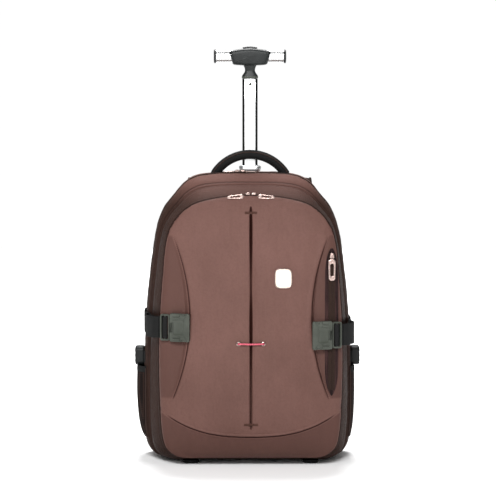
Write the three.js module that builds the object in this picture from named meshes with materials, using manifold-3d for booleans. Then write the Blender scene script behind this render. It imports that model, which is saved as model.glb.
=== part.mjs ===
// Wheeled backpack, in millimetres: X runs across its front, -Y is its front, +Z is up, and it stands on
// Z = 0

import * as THREE from 'three';
import { mergeVertices } from 'three/addons/utils/BufferGeometryUtils.js';
import Module from 'manifold-3d';

const wasm = await Module();
wasm.setup();

// Body of the bag
const clearance = 0.3;
const clothWall = 2;
const groundGap = 5;
const bagTop = 501;
const bodyHalfWidth = 181;
const bodyLean = -5;
const frontY = -84;
const partitionY = -26;
const mainZipY = 19;
const backY = 80;
const coverHalfWidth = 157;
const coverTop = 465;
const coverBottom = 14;
const coverCrown = 28;
const columnsRound = 40;

// Features of the front cover
const pleatWidth = 6.4;
const pleatDepth = 5;
const pleatTop = 449;
const pleatBottom = 63;
const pleatPinch = 303;
const lensTop = 402;
const lensBottom = 114;
const lensInner = 104;
const lensEndInner = 135;
const lensOuterLeft = 154;
const lensOuterRight = 127;
const lensDepth = 8;
const smileHeight = 55;
const smileRise = 46;
const smileStep = 2;

// Zippers
const zipWall = 1.6;
const frontZipWidth = 8;
const mainZipWidth = 10;
const frontZipEnd = 100;
const mainZipEnd = 150;
const pocketZipX = 138;
const pocketZipWidth = 12;
const pocketZipTop = 368;
const pocketZipBottom = 132;
const pocketZipStand = 1.2;
const sliderLength = 9;
const sliderWidth = 8;
const sliderHeight = 4;
const sliderSpare = 0.6;
const pullLength = 29;
const pullWidth = 9;
const mainPullLength = 21;
const mainPullShift = -18;
const pocketPullLength = 38;
const pocketPullWidth = 13;
const pullWall = 1.6;
const frontPullGap = 3;
const mainPullGap = 1.5;

// Straps and buckles
const webbingWidth = 38;
const webbingWall = 1.6;
const buckleHeight = 49;
const buckleWall = 7;
const buckleBodyLength = 36;
const buckleTongueLength = 17;
const buckleNotch = 4;
const buckleCorner = 2;
const buckleEdge = 0.8;
const buckleZ = { left: 241, right: 228 };
const strapBulge = 6;
const strapCornerY = -58;
const strapEndY = 68;
const adjusterStand = 17;
const adjusterLength = 32;
const adjusterHeight = 33;
const adjusterCorner = 7;
const adjusterEdge = 3;
const adjusterZ = 179;
const adjusterY = 22;

// Bottle pockets
const pocketWall = 1.6;
const pocketGap = 1.2;
const pocketBulge = { left: 15, right: 7 };
const pocketFrontY = -16;
const pocketBackY = 66;
const pocketRim = 160;
const pocketFloor = 40;

// Small trim on the front
const badgeWidth = 30;
const badgeHeight = 34;
const badgeWall = 3;
const badgeCorner = 9;
const badgeEdge = 1;
const badgeX = 55;
const badgeZ = 325;
const eyeletRadius = 4.2;
const eyeletSpan = 42;
const eyeletZ = 214;
const elasticRadius = 1.4;
const elasticBow = 0.6;
const eyeletWall = 1.6;

// Grab handle
const grabSpan = 56;
const grabTop = 532;
const grabDepth = 24;
const grabThick = 19;
const grabY = 38;

// Shoulder straps and back pad
const strapWidth = 60;
const strapPad = 13;
const strapGap = 1;
const strapX = 80;
const strapRootZ = 476;
const strapReach = 30;
const strapEndReach = 0.8;
const strapSplay = 12;
const lockHeight = 24;
const lockWall = 5;
const lockRim = 5;
const lockCorner = 3;
const padEndZ = 214;
const lowerWebbingWidth = 25;
const lowerWebbingStand = 3;
const padWall = 8;
const padHalfWidth = 128;
const padBottom = 96;
const padTop = 418;
const padCorner = 60;
const padEdge = 2.5;

// Base, wheels and feet
const baseHalfWidth = 150;
const baseFrontY = 40;
const baseBackY = 92;
const baseWall = 3;
const wheelRadius = 30;
const wheelWidth = 24;
const wheelX = 128;
const wheelY = 76;
const wheelGap = 3.5;
const wheelSides = 24;
const hubSides = 16;
const tyreWall = 7;
const axleRadius = 4;
const hubBoss = 5;
const hubBossProud = 1;
const hubRecess = 4;
const hubRim = 3;
const footX = 104;
const footY = -50;
const footRadius = 15;

// Trolley
const tubeY = 62;
const tubeWidth = 27;
const tubeDepth = 16;
const tubeCorner = 4;
const tubeWall = 1.4;
const neckLength = 24.5;
const tubeBottom = 190;
const sleeveGap = 0.5;
const sleeveWall = 1.5;
const collarGap = 1;
const collarWall = 6;
const collarHeight = 9;
const barRadius = 11.5;
const barZ = 704.5;
const barHalfLength = 60;
const capLength = 4;
const gripTopWidth = 74;
const gripBottomWidth = 61;
const gripBelow = 15;
const gripAbove = 14.5;
const gripDepth = 29;
const gripCorner = 6;
const gripEdge = 4;
const neckWaist = 18;
const neckFoot = 28.5;
const buttonWidth = 26;
const buttonDepth = 12;
const buttonProud = 3;
const buttonGap = 0.5;
const buttonCorner = 4;
const buttonTravel = 2;

// Heights along the handle, from the bar's
const gripBottom = barZ - gripBelow;
const gripTop = barZ + gripAbove;
const buttonTop = gripTop + buttonProud;
const tubeTop = gripBottom - neckLength;
const sleeveTop = bagTop + collarGap;

// Outline of the panels, bottom to top: shares of a panel's height and of its half width, on the main
// compartment and on the front cover
const outlineRows = [
  { height: 0, main: 0.36, front: 0.38 },
  { height: 0, main: 0.8, front: 0.74 },
  { height: 0.01, main: 0.9, front: 0.83 },
  { height: 0.04, main: 0.965, front: 0.925 },
  { height: 0.09, main: 0.99, front: 0.965 },
  { height: 0.21, main: 1, front: 0.99 },
  { height: 0.4, main: 0.99, front: 1 },
  { height: 0.56, main: 0.965, front: 0.985 },
  { height: 0.7, main: 0.922, front: 0.955 },
  { height: 0.806, main: 0.877, front: 0.925 },
  { height: 0.87, main: 0.815, front: 0.88 },
  { height: 0.925, main: 0.7, front: 0.775 },
  { height: 0.965, main: 0.605, front: 0.625 },
  { height: 0.99, main: 0.47, front: 0.36 },
];

// Sections of the body between its seams, front to back: share of the way from seam to seam, and shares of
// the way from the front cover's edge out to the body's full half width, up to its top and down to its
// underside; the outline is the cover's at 0 and the main compartment's at 1
const frontSections = [
  { along: 0.42, out: 0.33, up: 0.18, down: 0.7, blend: 0.4 },
  { along: 0.72, out: 0.54, up: 0.34, down: 0.93, blend: 0.7 },
  { along: 1, out: 0.62, up: 0.42, down: 1, blend: 0.8 },
];
const middleSections = [
  { along: 0.3, out: 0.87, up: 0.71, down: 1, blend: 0.95 },
  { along: 0.66, out: 1, up: 0.92, down: 1, blend: 1 },
];
const rearSections = [
  { along: 0.34, out: 1, up: 1, down: 1, blend: 1 },
  { along: 0.7, out: 0.87, up: 0.87, down: 0.86, blend: 1 },
  { along: 0.9, out: 0.6, up: 0.63, down: 0.3, blend: 1 },
  { along: 1, out: 0.15, up: 0.26, down: -1, blend: 1 },
];

const bothSides = ['left', 'right'];
const signOf = { left: -1, right: 1 };

// Small geometry helpers
const vector = (x, y, z) => new THREE.Vector3(x, y, z);
const lerp = THREE.MathUtils.lerp;
const clamp = THREE.MathUtils.clamp;
const smooth = (value) => THREE.MathUtils.smoothstep(value, 0, 1);

// One closed mesh from a list of triangles, with shared vertices merged and its faces turned outwards
function closedMesh(points, triangles) {
  const raw = new THREE.BufferGeometry();
  raw.setAttribute('position', new THREE.Float32BufferAttribute(points.flatMap((p) => [p.x, p.y, p.z]), 3));
  raw.setIndex(triangles.flat());
  const merged = mergeVertices(raw, 1e-3);
  const position = merged.getAttribute('position');
  const index = merged.getIndex().array;
  const kept = [];
  let volume = 0;
  const [a, b, c] = [vector(), vector(), vector()];
  for (let i = 0; i < index.length; i += 3) {
    const [p, q, r] = [index[i], index[i + 1], index[i + 2]];
    if (p === q || q === r || r === p) continue;
    kept.push([p, q, r]);
    a.fromBufferAttribute(position, p);
    b.fromBufferAttribute(position, q);
    c.fromBufferAttribute(position, r);
    volume += a.dot(b.cross(c));
  }
  merged.setIndex((volume < 0 ? kept.map(([p, q, r]) => [p, r, q]) : kept).flat());
  return merged;
}

// Quads of a grid of points, rows by columns, as triangles
function gridFaces(rows, columns, start, closed, flipped) {
  const faces = [];
  const lastColumn = closed ? columns : columns - 1;
  for (let row = 0; row < rows - 1; row += 1) {
    for (let column = 0; column < lastColumn; column += 1) {
      const next = (column + 1) % columns;
      const [a, b] = [start + row * columns + column, start + row * columns + next];
      const [c, d] = [a + columns, b + columns];
      faces.push(...(flipped ? [[a, d, b], [a, c, d]] : [[a, b, d], [a, d, c]]));
    }
  }
  return faces;
}

// Wall between an outer and an inner grid of points; closed joins the last column to the first
function wallMesh(outer, inner, closed) {
  const rows = outer.length;
  const columns = outer[0].length;
  const count = rows * columns;
  const points = [...outer.flat(), ...inner.flat()];
  const faces = [
    ...gridFaces(rows, columns, 0, closed, false),
    ...gridFaces(rows, columns, count, closed, true),
  ];
  const rim = (from, to) => {
    faces.push([from, from + count, to + count], [from, to + count, to]);
  };
  const lastColumn = closed ? columns : columns - 1;
  for (let column = 0; column < lastColumn; column += 1) {
    const next = (column + 1) % columns;
    rim(column, next);
    rim((rows - 1) * columns + next, (rows - 1) * columns + column);
  }
  for (let row = 0; row < rows - 1 && !closed; row += 1) {
    rim((row + 1) * columns, row * columns);
    rim(row * columns + columns - 1, (row + 1) * columns + columns - 1);
  }
  return closedMesh(points, faces);
}

// Solid through closed sections, with each end capped from its middle
function loftMesh(sections) {
  const middle = (section) => {
    const sum = section.reduce((total, p) => total.add(p), vector(0, 0, 0));
    const point = sum.divideScalar(section.length);
    return section.map(() => point);
  };
  const rows = [middle(sections[0]), ...sections, middle(sections.at(-1))];
  return closedMesh(rows.flat(), gridFaces(rows.length, rows[0].length, 0, true, false));
}

// Closed section of rounded-rectangle form about a centre, spread along two directions
function roundSection(centre, across, halfAcross, along, halfAlong, sides, power = 0.5) {
  return Array.from({ length: sides }, (unused, i) => {
    const angle = ((i + 0.5) / sides) * 2 * Math.PI;
    const bend = (value) => Math.sign(value) * Math.abs(value) ** power;
    return centre.clone()
      .addScaledVector(across, bend(Math.cos(angle)) * halfAcross)
      .addScaledVector(along, bend(Math.sin(angle)) * halfAlong);
  });
}

// Strap, webbing or handle swept along a path: its width lies along one fixed direction
function sweptMesh(path, widthDirection, width, thickness, sides, power, taper = () => 1) {
  const sections = path.map((point, i) => {
    const before = path[Math.max(i - 1, 0)];
    const after = path[Math.min(i + 1, path.length - 1)];
    const tangent = after.clone().sub(before).normalize();
    const normal = tangent.clone().cross(widthDirection).normalize();
    const scale = taper(i / (path.length - 1));
    return roundSection(point, widthDirection, (width / 2) * scale, normal, thickness / 2, sides, power);
  });
  return loftMesh(sections);
}

// Evenly spaced points on a smooth curve through a few chosen ones
function smoothPath(points, steps) {
  return new THREE.CatmullRomCurve3(points, false, 'centripetal').getSpacedPoints(steps);
}

// Rounded rectangle as a flat shape about the origin
function roundedShape(width, height, radius) {
  const shape = new THREE.Shape();
  const [x, y, r] = [width / 2, height / 2, radius];
  shape.moveTo(x, y - r);
  shape.absarc(x - r, y - r, r, 0, Math.PI / 2);
  shape.absarc(-x + r, y - r, r, Math.PI / 2, Math.PI);
  shape.absarc(-x + r, -y + r, r, Math.PI, 1.5 * Math.PI);
  shape.absarc(x - r, -y + r, r, 1.5 * Math.PI, 2 * Math.PI);
  return shape;
}

// Straight slot for a flat shape, centred a little way along X
function slotPath(width, height, shift = 0) {
  const [x0, x1, y] = [shift - width / 2, shift + width / 2, height / 2];
  return new THREE.Path([[x0, -y], [x0, y], [x1, y], [x1, -y]].map(([x, z]) => new THREE.Vector2(x, z)));
}

// Plate of a flat shape, its thickness centred on the shape's plane, with edges eased by a bevel
function plateMesh(shape, thickness, bevel, curveSegments = 1) {
  const geometry = new THREE.ExtrudeGeometry(shape, {
    depth: thickness - 2 * bevel,
    bevelEnabled: bevel > 0,
    bevelThickness: bevel,
    bevelSize: bevel,
    bevelOffset: -bevel,
    bevelSegments: 1,
    curveSegments,
  });
  return welded(geometry.translate(0, 0, bevel - thickness / 2));
}

// The same geometry with only its positions, and shared vertices merged
function welded(geometry) {
  geometry.deleteAttribute('normal');
  geometry.deleteAttribute('uv');
  return mergeVertices(geometry, 1e-3);
}

// Straight block between two corners
function blockMesh([x0, y0, z0], [x1, y1, z1]) {
  const block = new THREE.BoxGeometry(x1 - x0, y1 - y0, z1 - z0);
  return welded(block.translate((x0 + x1) / 2, (y0 + y1) / 2, (z0 + z1) / 2));
}

// Round solid or ring about X from a profile of [radius, place along X]
function turnedAboutX(profile, sides) {
  const lathe = new THREE.LatheGeometry(profile.map(([r, x]) => new THREE.Vector2(r, x)), sides);
  return welded(lathe.rotateY(Math.PI / sides).rotateZ(-Math.PI / 2));
}

// Plain round rod along X, from its radius and half length
function rodMesh(radius, half) {
  return turnedAboutX([[0, -half], [radius, -half], [radius, half], [0, half]], 16);
}

// Boolean joins and cuts
function toSolid(geometry) {
  return new wasm.Manifold(new wasm.Mesh({
    numProp: 3,
    vertProperties: new Float32Array(geometry.getAttribute('position').array),
    triVerts: new Uint32Array(geometry.getIndex().array),
  }));
}

function fromSolid(solid) {
  const mesh = solid.getMesh();
  const geometry = new THREE.BufferGeometry();
  geometry.setAttribute('position', new THREE.Float32BufferAttribute(Array.from(mesh.vertProperties), 3));
  geometry.setIndex(Array.from(mesh.triVerts));
  return mergeVertices(geometry, 1e-3);
}

function cut(geometry, ...tools) {
  return fromSolid(tools.reduce((solid, tool) => solid.subtract(toSolid(tool)), toSolid(geometry)));
}

// Outline of a panel in even steps round it from the middle of its underside, in shares of its box
function outlineShares(column, count) {
  const bodyHeight = bagTop - groundGap;
  const place = (row, side) => vector(side * row[column] * bodyHalfWidth, 0, row.height * bodyHeight);
  const right = outlineRows.map((row) => place(row, 1));
  const left = outlineRows.map((row) => place(row, -1)).reverse();
  const loop = new THREE.CatmullRomCurve3(
    [vector(0, 0, 0), ...right, vector(0, 0, bodyHeight), ...left],
    true,
    'centripetal',
  );
  return loop.getSpacedPoints(count).slice(0, count).map((p) => ({
    x: p.x / bodyHalfWidth,
    z: clamp(p.z / bodyHeight, 0, 1),
  }));
}

const mainOutline = outlineShares('main', columnsRound);
const frontOutline = outlineShares('front', columnsRound);
const fineOutlines = { main: outlineShares('main', 400), front: outlineShares('front', 400) };

// Half width of an outline at a share of its height, from its right-hand side
function halfWidthShare(column, height) {
  const right = fineOutlines[column].slice(0, 201);
  const start = right.findIndex((p, i) => i > 20 && p.z >= height);
  if (start < 0) return 0;
  const [low, high] = [right[start - 1], right[start]];
  const step = high.z > low.z ? (height - low.z) / (high.z - low.z) : 1;
  return Math.max(0, lerp(low.x, high.x, clamp(step, 0, 1)));
}

// Sizes of a body section from its row, between two seams
function sectionOf(fromY, toY, row) {
  return {
    y: lerp(fromY, toY, row.along),
    halfWidth: lerp(coverHalfWidth, bodyHalfWidth, row.out),
    shift: bodyLean * row.out,
    bottom: lerp(coverBottom, groundGap, row.down),
    top: lerp(coverTop, bagTop, row.up),
    blend: row.blend,
  };
}

const zipSink = zipWall + clearance;
const mainZipSection = {
  halfWidth: bodyHalfWidth - zipSink, shift: bodyLean, bottom: groundGap, top: bagTop - zipSink, blend: 1,
};
const mainZipSpan = [mainZipY - mainZipWidth / 2, mainZipY + mainZipWidth / 2];
const frontSeam = frontY + clearance;
const frontZipBack = frontY + frontZipWidth;
const frontEdge = {
  halfWidth: coverHalfWidth - zipSink, shift: 0, bottom: coverBottom, top: coverTop - zipSink, blend: 0,
};
const frontRings = [
  { ...frontEdge, y: frontSeam },
  { ...frontEdge, y: frontZipBack },
  { ...frontEdge, y: frontZipBack + zipSink, halfWidth: coverHalfWidth + 1, top: coverTop + 1 },
  ...frontSections.map((row) => sectionOf(frontZipBack, partitionY, row)),
];
const middleRings = [
  { ...frontRings.at(-1), y: partitionY + clearance },
  ...middleSections.map((row) => sectionOf(partitionY, mainZipSpan[0], row)),
  { ...mainZipSection, y: mainZipSpan[0] },
  { ...mainZipSection, y: mainZipY - clearance / 2 },
];
const rearRings = [
  { ...mainZipSection, y: mainZipY + clearance / 2 },
  { ...mainZipSection, y: mainZipSpan[1] },
  ...rearSections.map((row) => sectionOf(mainZipSpan[1], backY, row)),
];
const bodyRings = [...frontRings, ...middleRings, ...rearRings];

// Points of one ring, grown outwards or shrunk by an amount
function ringPoints(ring, grow = 0) {
  return mainOutline.map((share, i) => {
    const x = lerp(frontOutline[i].x, share.x, ring.blend);
    const z = lerp(frontOutline[i].z, share.z, ring.blend);
    const [low, high] = [ring.bottom - grow, ring.top + grow];
    return vector(ring.shift + x * (ring.halfWidth + grow), ring.y, lerp(low, high, z));
  });
}

// Ring sizes at any depth of the body
function ringAt(y) {
  const last = bodyRings.findIndex((ring) => ring.y >= y);
  if (last <= 0) return last === 0 ? bodyRings[0] : bodyRings.at(-1);
  const [before, after] = [bodyRings[last - 1], bodyRings[last]];
  const step = (y - before.y) / Math.max(after.y - before.y, 1e-6);
  const mix = (key) => lerp(before[key], after[key], step);
  const sizes = ['halfWidth', 'shift', 'bottom', 'top', 'blend'];
  return { y, ...Object.fromEntries(sizes.map((key) => [key, mix(key)])) };
}

// Distance of the body's side from the middle plane at a depth and height; sign is -1 on the left and 1 on
// the right
function sideAt(y, z, sign) {
  const ring = ringAt(y);
  const height = clamp((z - ring.bottom) / (ring.top - ring.bottom), 0, 1);
  const share = lerp(halfWidthShare('front', height), halfWidthShare('main', height), ring.blend);
  return share * ring.halfWidth + sign * ring.shift;
}

// Height of the body's top at a depth and distance from the middle
function topAt(y, x) {
  const ring = ringAt(y);
  let [low, high] = [lerp(ring.bottom, ring.top, 0.5), ring.top];
  for (let i = 0; i < 24; i += 1) {
    const middle = (low + high) / 2;
    if (sideAt(y, middle, Math.sign(x) || 1) > Math.abs(x)) low = middle;
    else high = middle;
  }
  return high;
}

// Inner copy of a row of rings, one wall inside the outer one
function innerRings(rings) {
  return rings.map((ring) => ringPoints(ring, -clothWall));
}

// Panel closing a tray's last ring: rings shrunk towards the middle at one depth
function closingPanel(ring, y, shares, grow) {
  const middle = vector(ring.shift, y, (ring.bottom + ring.top) / 2);
  return shares.map((share) => ringPoints(ring, grow).map((p) => p.setY(y).lerp(middle, 1 - share)));
}

// Open tray: gusset from its mouth to its last ring, closed there by a panel
function trayMesh(rings, panelY, wall) {
  const shares = [1, 0.62, 0];
  const last = rings.at(-1);
  const outer = [...rings.map((ring) => ringPoints(ring)), ...closingPanel(last, panelY, shares.slice(1), 0)];
  const inside = rings.slice(0, -1);
  const inner = [...innerRings(inside), ...closingPanel(last, panelY - wall, shares, -clothWall)];
  return wallMesh(outer, inner, true);
}

// Front cover: how far a point stands back from the plain crown in its pleat, side panels and bottom panel
function coverDents(x, z) {
  const side = x < 0 ? lensOuterLeft : lensOuterRight;
  const middle = (lensTop + lensBottom) / 2;
  const along = clamp((z - lensBottom) / (lensTop - lensBottom), 0, 1);
  const reach = (z - middle) / ((lensTop - lensBottom) / 2);
  const inner = lerp(lensInner, lensEndInner, clamp(reach * reach, 0, 1));
  const across = (Math.abs(x) - inner) / Math.max(side - inner, 8);
  const fold = clamp(across / 0.16, 0, 1) * clamp(1 - across, 0, 1) ** 0.8;
  const lens = lensDepth * fold * Math.sin(Math.PI * along) ** 0.7;
  const open = smooth((pleatTop - z) / 12) * smooth((z - pleatBottom) / 12);
  const pinch = 1 - 0.6 * Math.exp(-(((z - pleatPinch) / 26) ** 2));
  const pleat = pleatDepth * open * pinch * clamp(1 - Math.abs(x) / (pleatWidth / 2), 0, 1);
  const smile = smileHeight + smileRise * (Math.abs(x) / coverHalfWidth) ** 2.6;
  const lower = smileStep * smooth((smile - z) / 8);
  return Math.max(lens, 0) + pleat + lower;
}

// Point of the front cover's outer face, or of its inner face one wall inside, from shares across and up
function coverPoint(across, up, inset) {
  const [bottom, top] = [coverBottom + inset, coverTop - inset];
  const half = coverHalfWidth - inset;
  const x = across * half * halfWidthShare('front', up);
  const z = lerp(bottom, top, up);
  const crown = (coverCrown - inset) * coverCrownShare(across, up);
  const nominalX = across * coverHalfWidth * halfWidthShare('front', up);
  const dents = coverDents(nominalX, lerp(coverBottom, coverTop, up)) * smooth(6 * (1 - Math.abs(across)));
  return vector(x, frontY - Math.max(crown - dents, 0), z);
}

// Share of the crown's full depth: full across the middle and low down, easing off to the edge and to the top
function coverCrownShare(across, up) {
  const sideways = (1 - Math.abs(across) ** 2.6) ** 0.62;
  const upwards = (1 - (1 - up) ** 9) ** 0.6 * (1 - up ** 3.4) ** 0.62;
  return sideways * upwards;
}

// Depth of the front cover's face at a place on it
function coverYAt(x, z) {
  const up = clamp((z - coverBottom) / (coverTop - coverBottom), 0, 1);
  const half = coverHalfWidth * halfWidthShare('front', up);
  return coverPoint(clamp(x / Math.max(half, 1), -1, 1), up, 0).y;
}

// Foremost depth of the front cover over a rectangle, where a flat piece seats
function coverSeat(x0, x1, z0, z1) {
  const steps = [0, 0.25, 0.5, 0.75, 1];
  const depths = steps.flatMap((a) => steps.map((b) => coverYAt(lerp(x0, x1, a), lerp(z0, z1, b))));
  return Math.min(...depths);
}

function frontCover() {
  const half = pleatWidth / 2 / coverHalfWidth;
  const side = [half, 0.16, 0.38, 0.6, 0.66, 0.71, 0.79, 0.87, 0.95, 1];
  const columns = [...side.map((share) => -share).reverse(), 0, ...side];
  const rowCount = 22;
  const rows = Array.from({ length: rowCount + 1 }, (unused, i) => {
    const even = i / rowCount;
    return lerp(even, 0.5 - 0.5 * Math.cos(Math.PI * even), 0.75);
  });
  const face = (inset) => rows.map((up) => columns.map((across) => coverPoint(across, up, inset)));
  return wallMesh(face(0), face(clothWall), false);
}

// Zipper tape lying in the channel over a seam, between two ends on the sides
function zipperArc(ring, halfWidthOuter, topOuter, y0, y1, endHeight) {
  const outerRing = { ...ring, halfWidth: halfWidthOuter, top: topOuter };
  const outside = ringPoints(outerRing);
  const inside = ringPoints(ring, clearance);
  const used = outside.map((p, i) => i).filter((i) => outside[i].z > endHeight);
  const shift = (points, y) => used.map((i) => points[i].clone().setY(y));
  const outer = [shift(outside, y0), shift(outside, y1)];
  const inner = [shift(inside, y0), shift(inside, y1)];
  return wallMesh(outer, inner, false);
}

const frontZipper = () => zipperArc(
  frontEdge, coverHalfWidth, coverTop, frontSeam, frontZipBack - clearance, frontZipEnd,
);
const mainZipper = () => zipperArc(
  mainZipSection, bodyHalfWidth, bagTop, mainZipSpan[0] + clearance, mainZipSpan[1] - clearance, mainZipEnd,
);

// Patch lying on the front cover between two distances from the middle and two heights
function coverPatch(x0, x1, z0, z1, gap, wall, across, up) {
  const face = (stand) => Array.from({ length: up + 1 }, (unused, j) => {
    const z = lerp(z0, z1, j / up);
    return Array.from({ length: across + 1 }, (unusedToo, i) => {
      const x = lerp(x0, x1, i / across);
      return vector(x, coverYAt(x, z) - stand, z);
    });
  });
  return wallMesh(face(gap + wall), face(gap), false);
}

// Main tray: rear gusset and back panel, with a hole for the trolley and its lower corner left to the base
function mainTray() {
  const tray = trayMesh(rearRings, backY, clothWall);
  const [w, d] = [sleeveWidth / 2 + sleeveGap, sleeveDepth / 2 + sleeveGap];
  const hole = blockMesh([-w, tubeY - d, (bagTop + groundGap) / 2], [w, tubeY + d, bagTop + sleeveDepth]);
  const corner = blockMesh(
    [-baseHalfWidth - clearance, baseFrontY - clearance, -baseTop],
    [baseHalfWidth + clearance, 2 * baseBackY, baseTop + clearance],
  );
  return cut(tray, hole, corner);
}

// Bottle pocket: a pouch standing off the side, open at its rim
function sidePocket(side) {
  const sign = signOf[side];
  const [columns, rows] = [8, 7];
  const face = (wall) => Array.from({ length: rows + 1 }, (unused, j) => {
    const up = j / rows;
    const z = lerp(pocketFloor, pocketRim, up);
    return Array.from({ length: columns + 1 }, (unusedToo, i) => {
      const along = i / columns;
      const y = lerp(pocketFrontY, pocketBackY, along);
      const round = (4 * along * (1 - along)) ** 0.45;
      const belly = (1 - (1 - up) ** 2.4) ** 0.6 * (1 - 0.12 * up ** 4);
      const bulge = (pocketBulge[side] - pocketWall) * round * belly;
      return vector(sign * (sideAt(y, z, sign) + pocketGap + bulge + wall), y, z);
    });
  });
  return wallMesh(face(pocketWall), face(0), false);
}

// Mirror image across the middle plane, with its faces still turned outwards
function mirrored(geometry) {
  const copy = geometry.clone().scale(-1, 1, 1);
  const index = Array.from(copy.getIndex().array);
  for (let i = 0; i < index.length; i += 3) [index[i], index[i + 1]] = [index[i + 1], index[i]];
  copy.setIndex(index);
  return copy;
}

// Depth of the cover's face with the pocket zipper's tape on it
function dressedYAt(x, z) {
  const onTape = Math.abs(x - pocketZipX) < pocketZipWidth / 2 + 2 && z > pocketZipBottom && z < pocketZipTop;
  return coverYAt(x, z) - (onTape ? pocketZipStand + zipWall : 0);
}

// Plane in front of the cover's side, on which a buckle lies: its inner end and its slant in plan
function bucklePlane(side) {
  const sign = signOf[side];
  const [z0, z1] = [buckleZ[side] - buckleHeight / 2, buckleZ[side] + buckleHeight / 2];
  const length = buckleBodyLength + clearance + buckleTongueLength;
  const inner = lensInner - 1;
  const slope = (frontY - 3 - coverYAt(sign * inner, buckleZ[side])) / length;
  const steps = Array.from({ length: 15 }, (unused, i) => i / 14);
  const depths = steps.flatMap((a) => steps.map((b) => {
    const x = inner + a * length;
    return dressedYAt(sign * x, lerp(z0, z1, b)) - slope * (x - inner);
  }));
  return { x: inner, y: Math.min(...depths) - clearance, z: buckleZ[side], angle: Math.atan(slope), sign };
}

// Places a flat piece on a buckle's plane: its own X runs outwards, its thickness stands off the cover
function onBucklePlane(geometry, side, along) {
  const plane = bucklePlane(side);
  const placed = geometry.rotateX(Math.PI / 2).translate(along, -buckleWall / 2, 0)
    .rotateZ(plane.angle).translate(plane.x, plane.y, plane.z);
  return side === 'left' ? mirrored(placed) : placed;
}

function buckleBody(side) {
  const shape = new THREE.Shape();
  const [half, notch, radius] = [buckleHeight / 2, buckleBodyLength * 0.3, buckleNotch];
  shape.moveTo(0, -half + buckleCorner);
  shape.lineTo(buckleCorner, -half);
  shape.lineTo(notch - radius, -half);
  shape.absarc(notch, -half, radius, Math.PI, 0, true);
  shape.lineTo(buckleBodyLength, -half);
  shape.lineTo(buckleBodyLength, half);
  shape.lineTo(notch + radius, half);
  shape.absarc(notch, half, radius, 0, Math.PI, true);
  shape.lineTo(buckleCorner, half);
  shape.lineTo(0, half - buckleCorner);
  return onBucklePlane(plateMesh(shape, buckleWall, buckleEdge), side, 0);
}

function buckleTongue(side) {
  const shape = roundedShape(buckleTongueLength, buckleHeight - 1.5 * buckleCorner, 2 * buckleCorner);
  for (const { place, spare } of [{ place: -0.24, spare: 1 }, { place: 0.18, spare: 2 }]) {
    shape.holes.push(slotPath(buckleTongueLength * 0.26, webbingWidth + spare, place * buckleTongueLength));
  }
  const centre = buckleBodyLength + clearance + buckleTongueLength / 2;
  return onBucklePlane(plateMesh(shape, buckleWall - 2 * buckleEdge, 0), side, centre);
}

// Compression strap: from its buckle on the front round the corner and back along the side
function compressionStrap(side) {
  const plane = bucklePlane(side);
  const z = plane.z;
  const reach = buckleBodyLength + buckleTongueLength + 3 * clearance;
  const start = vector(reach, -buckleWall / 2, 0).applyAxisAngle(vector(0, 0, 1), plane.angle)
    .add(vector(plane.x, plane.y, z));
  const stand = webbingWall / 2 + 5 * clearance;
  const edges = [z - webbingWidth / 2, z, z + webbingWidth / 2];
  const wide = (y) => Math.max(...edges.map((height) => sideAt(y, height, plane.sign))) + stand;
  const places = [0, 0.22, 0.45, 0.75, 0.87, 1].map((share) => lerp(partitionY, strapEndY, share));
  places[2] = mainZipY;
  const onSide = places.map((y) => vector(wide(y) + (y === mainZipY ? zipSink : 0), y, z));
  const corner = vector(wide(strapCornerY) + strapBulge, strapCornerY, z);
  const lead = start.clone().lerp(vector(corner.x, frontY, z), 0.5);
  onSide[0].x += strapBulge / 3;
  const path = smoothPath([start, lead, corner, ...onSide], 14);
  const strap = sweptMesh(path, vector(0, 0, 1), webbingWidth, webbingWall, 6, 0.35);
  return side === 'left' ? mirrored(strap) : strap;
}

// Side adjuster: a rounded block from the side of the body out to its stand beyond the full half width
function sideAdjuster(side) {
  const sign = signOf[side];
  const corners = [-0.5, 0, 0.5].flatMap((up) => [-0.5, 0, 0.5].map((along) => (
    sideAt(adjusterY + along * adjusterLength, adjusterZ + up * adjusterHeight, sign)
  )));
  const onZip = [-0.5, 0, 0.5].map((up) => sideAt(mainZipY, adjusterZ + up * adjusterHeight, sign) + zipSink);
  const seat = Math.max(...corners, ...onZip) + clearance;
  const thickness = bodyHalfWidth + sign * bodyLean + adjusterStand - seat;
  const shape = roundedShape(adjusterHeight, adjusterLength, adjusterCorner);
  const block = plateMesh(shape, thickness, adjusterEdge)
    .rotateY(Math.PI / 2)
    .translate(seat + thickness / 2, adjusterY, adjusterZ);
  return side === 'left' ? mirrored(block) : block;
}

function badge() {
  const [x0, x1] = [badgeX - badgeWidth / 2, badgeX + badgeWidth / 2];
  const [z0, z1] = [badgeZ - badgeHeight / 2, badgeZ + badgeHeight / 2];
  const slope = (coverYAt(x1, badgeZ) - coverYAt(x0, badgeZ)) / badgeWidth;
  const lean = (coverYAt(badgeX, z1) - coverYAt(badgeX, z0)) / badgeHeight;
  const depths = [x0, badgeX, x1].flatMap((x) => [z0, badgeZ, z1].map(
    (z) => coverYAt(x, z) - slope * (x - badgeX) - lean * (z - badgeZ),
  ));
  const y = Math.min(...depths) - clearance;
  return plateMesh(roundedShape(badgeWidth, badgeHeight, badgeCorner), badgeWall, badgeEdge, 2)
    .rotateX(Math.PI / 2)
    .translate(0, -badgeWall / 2, 0)
    .rotateX(-Math.atan(lean))
    .rotateZ(Math.atan(slope))
    .translate(badgeX, y, badgeZ);
}

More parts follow.
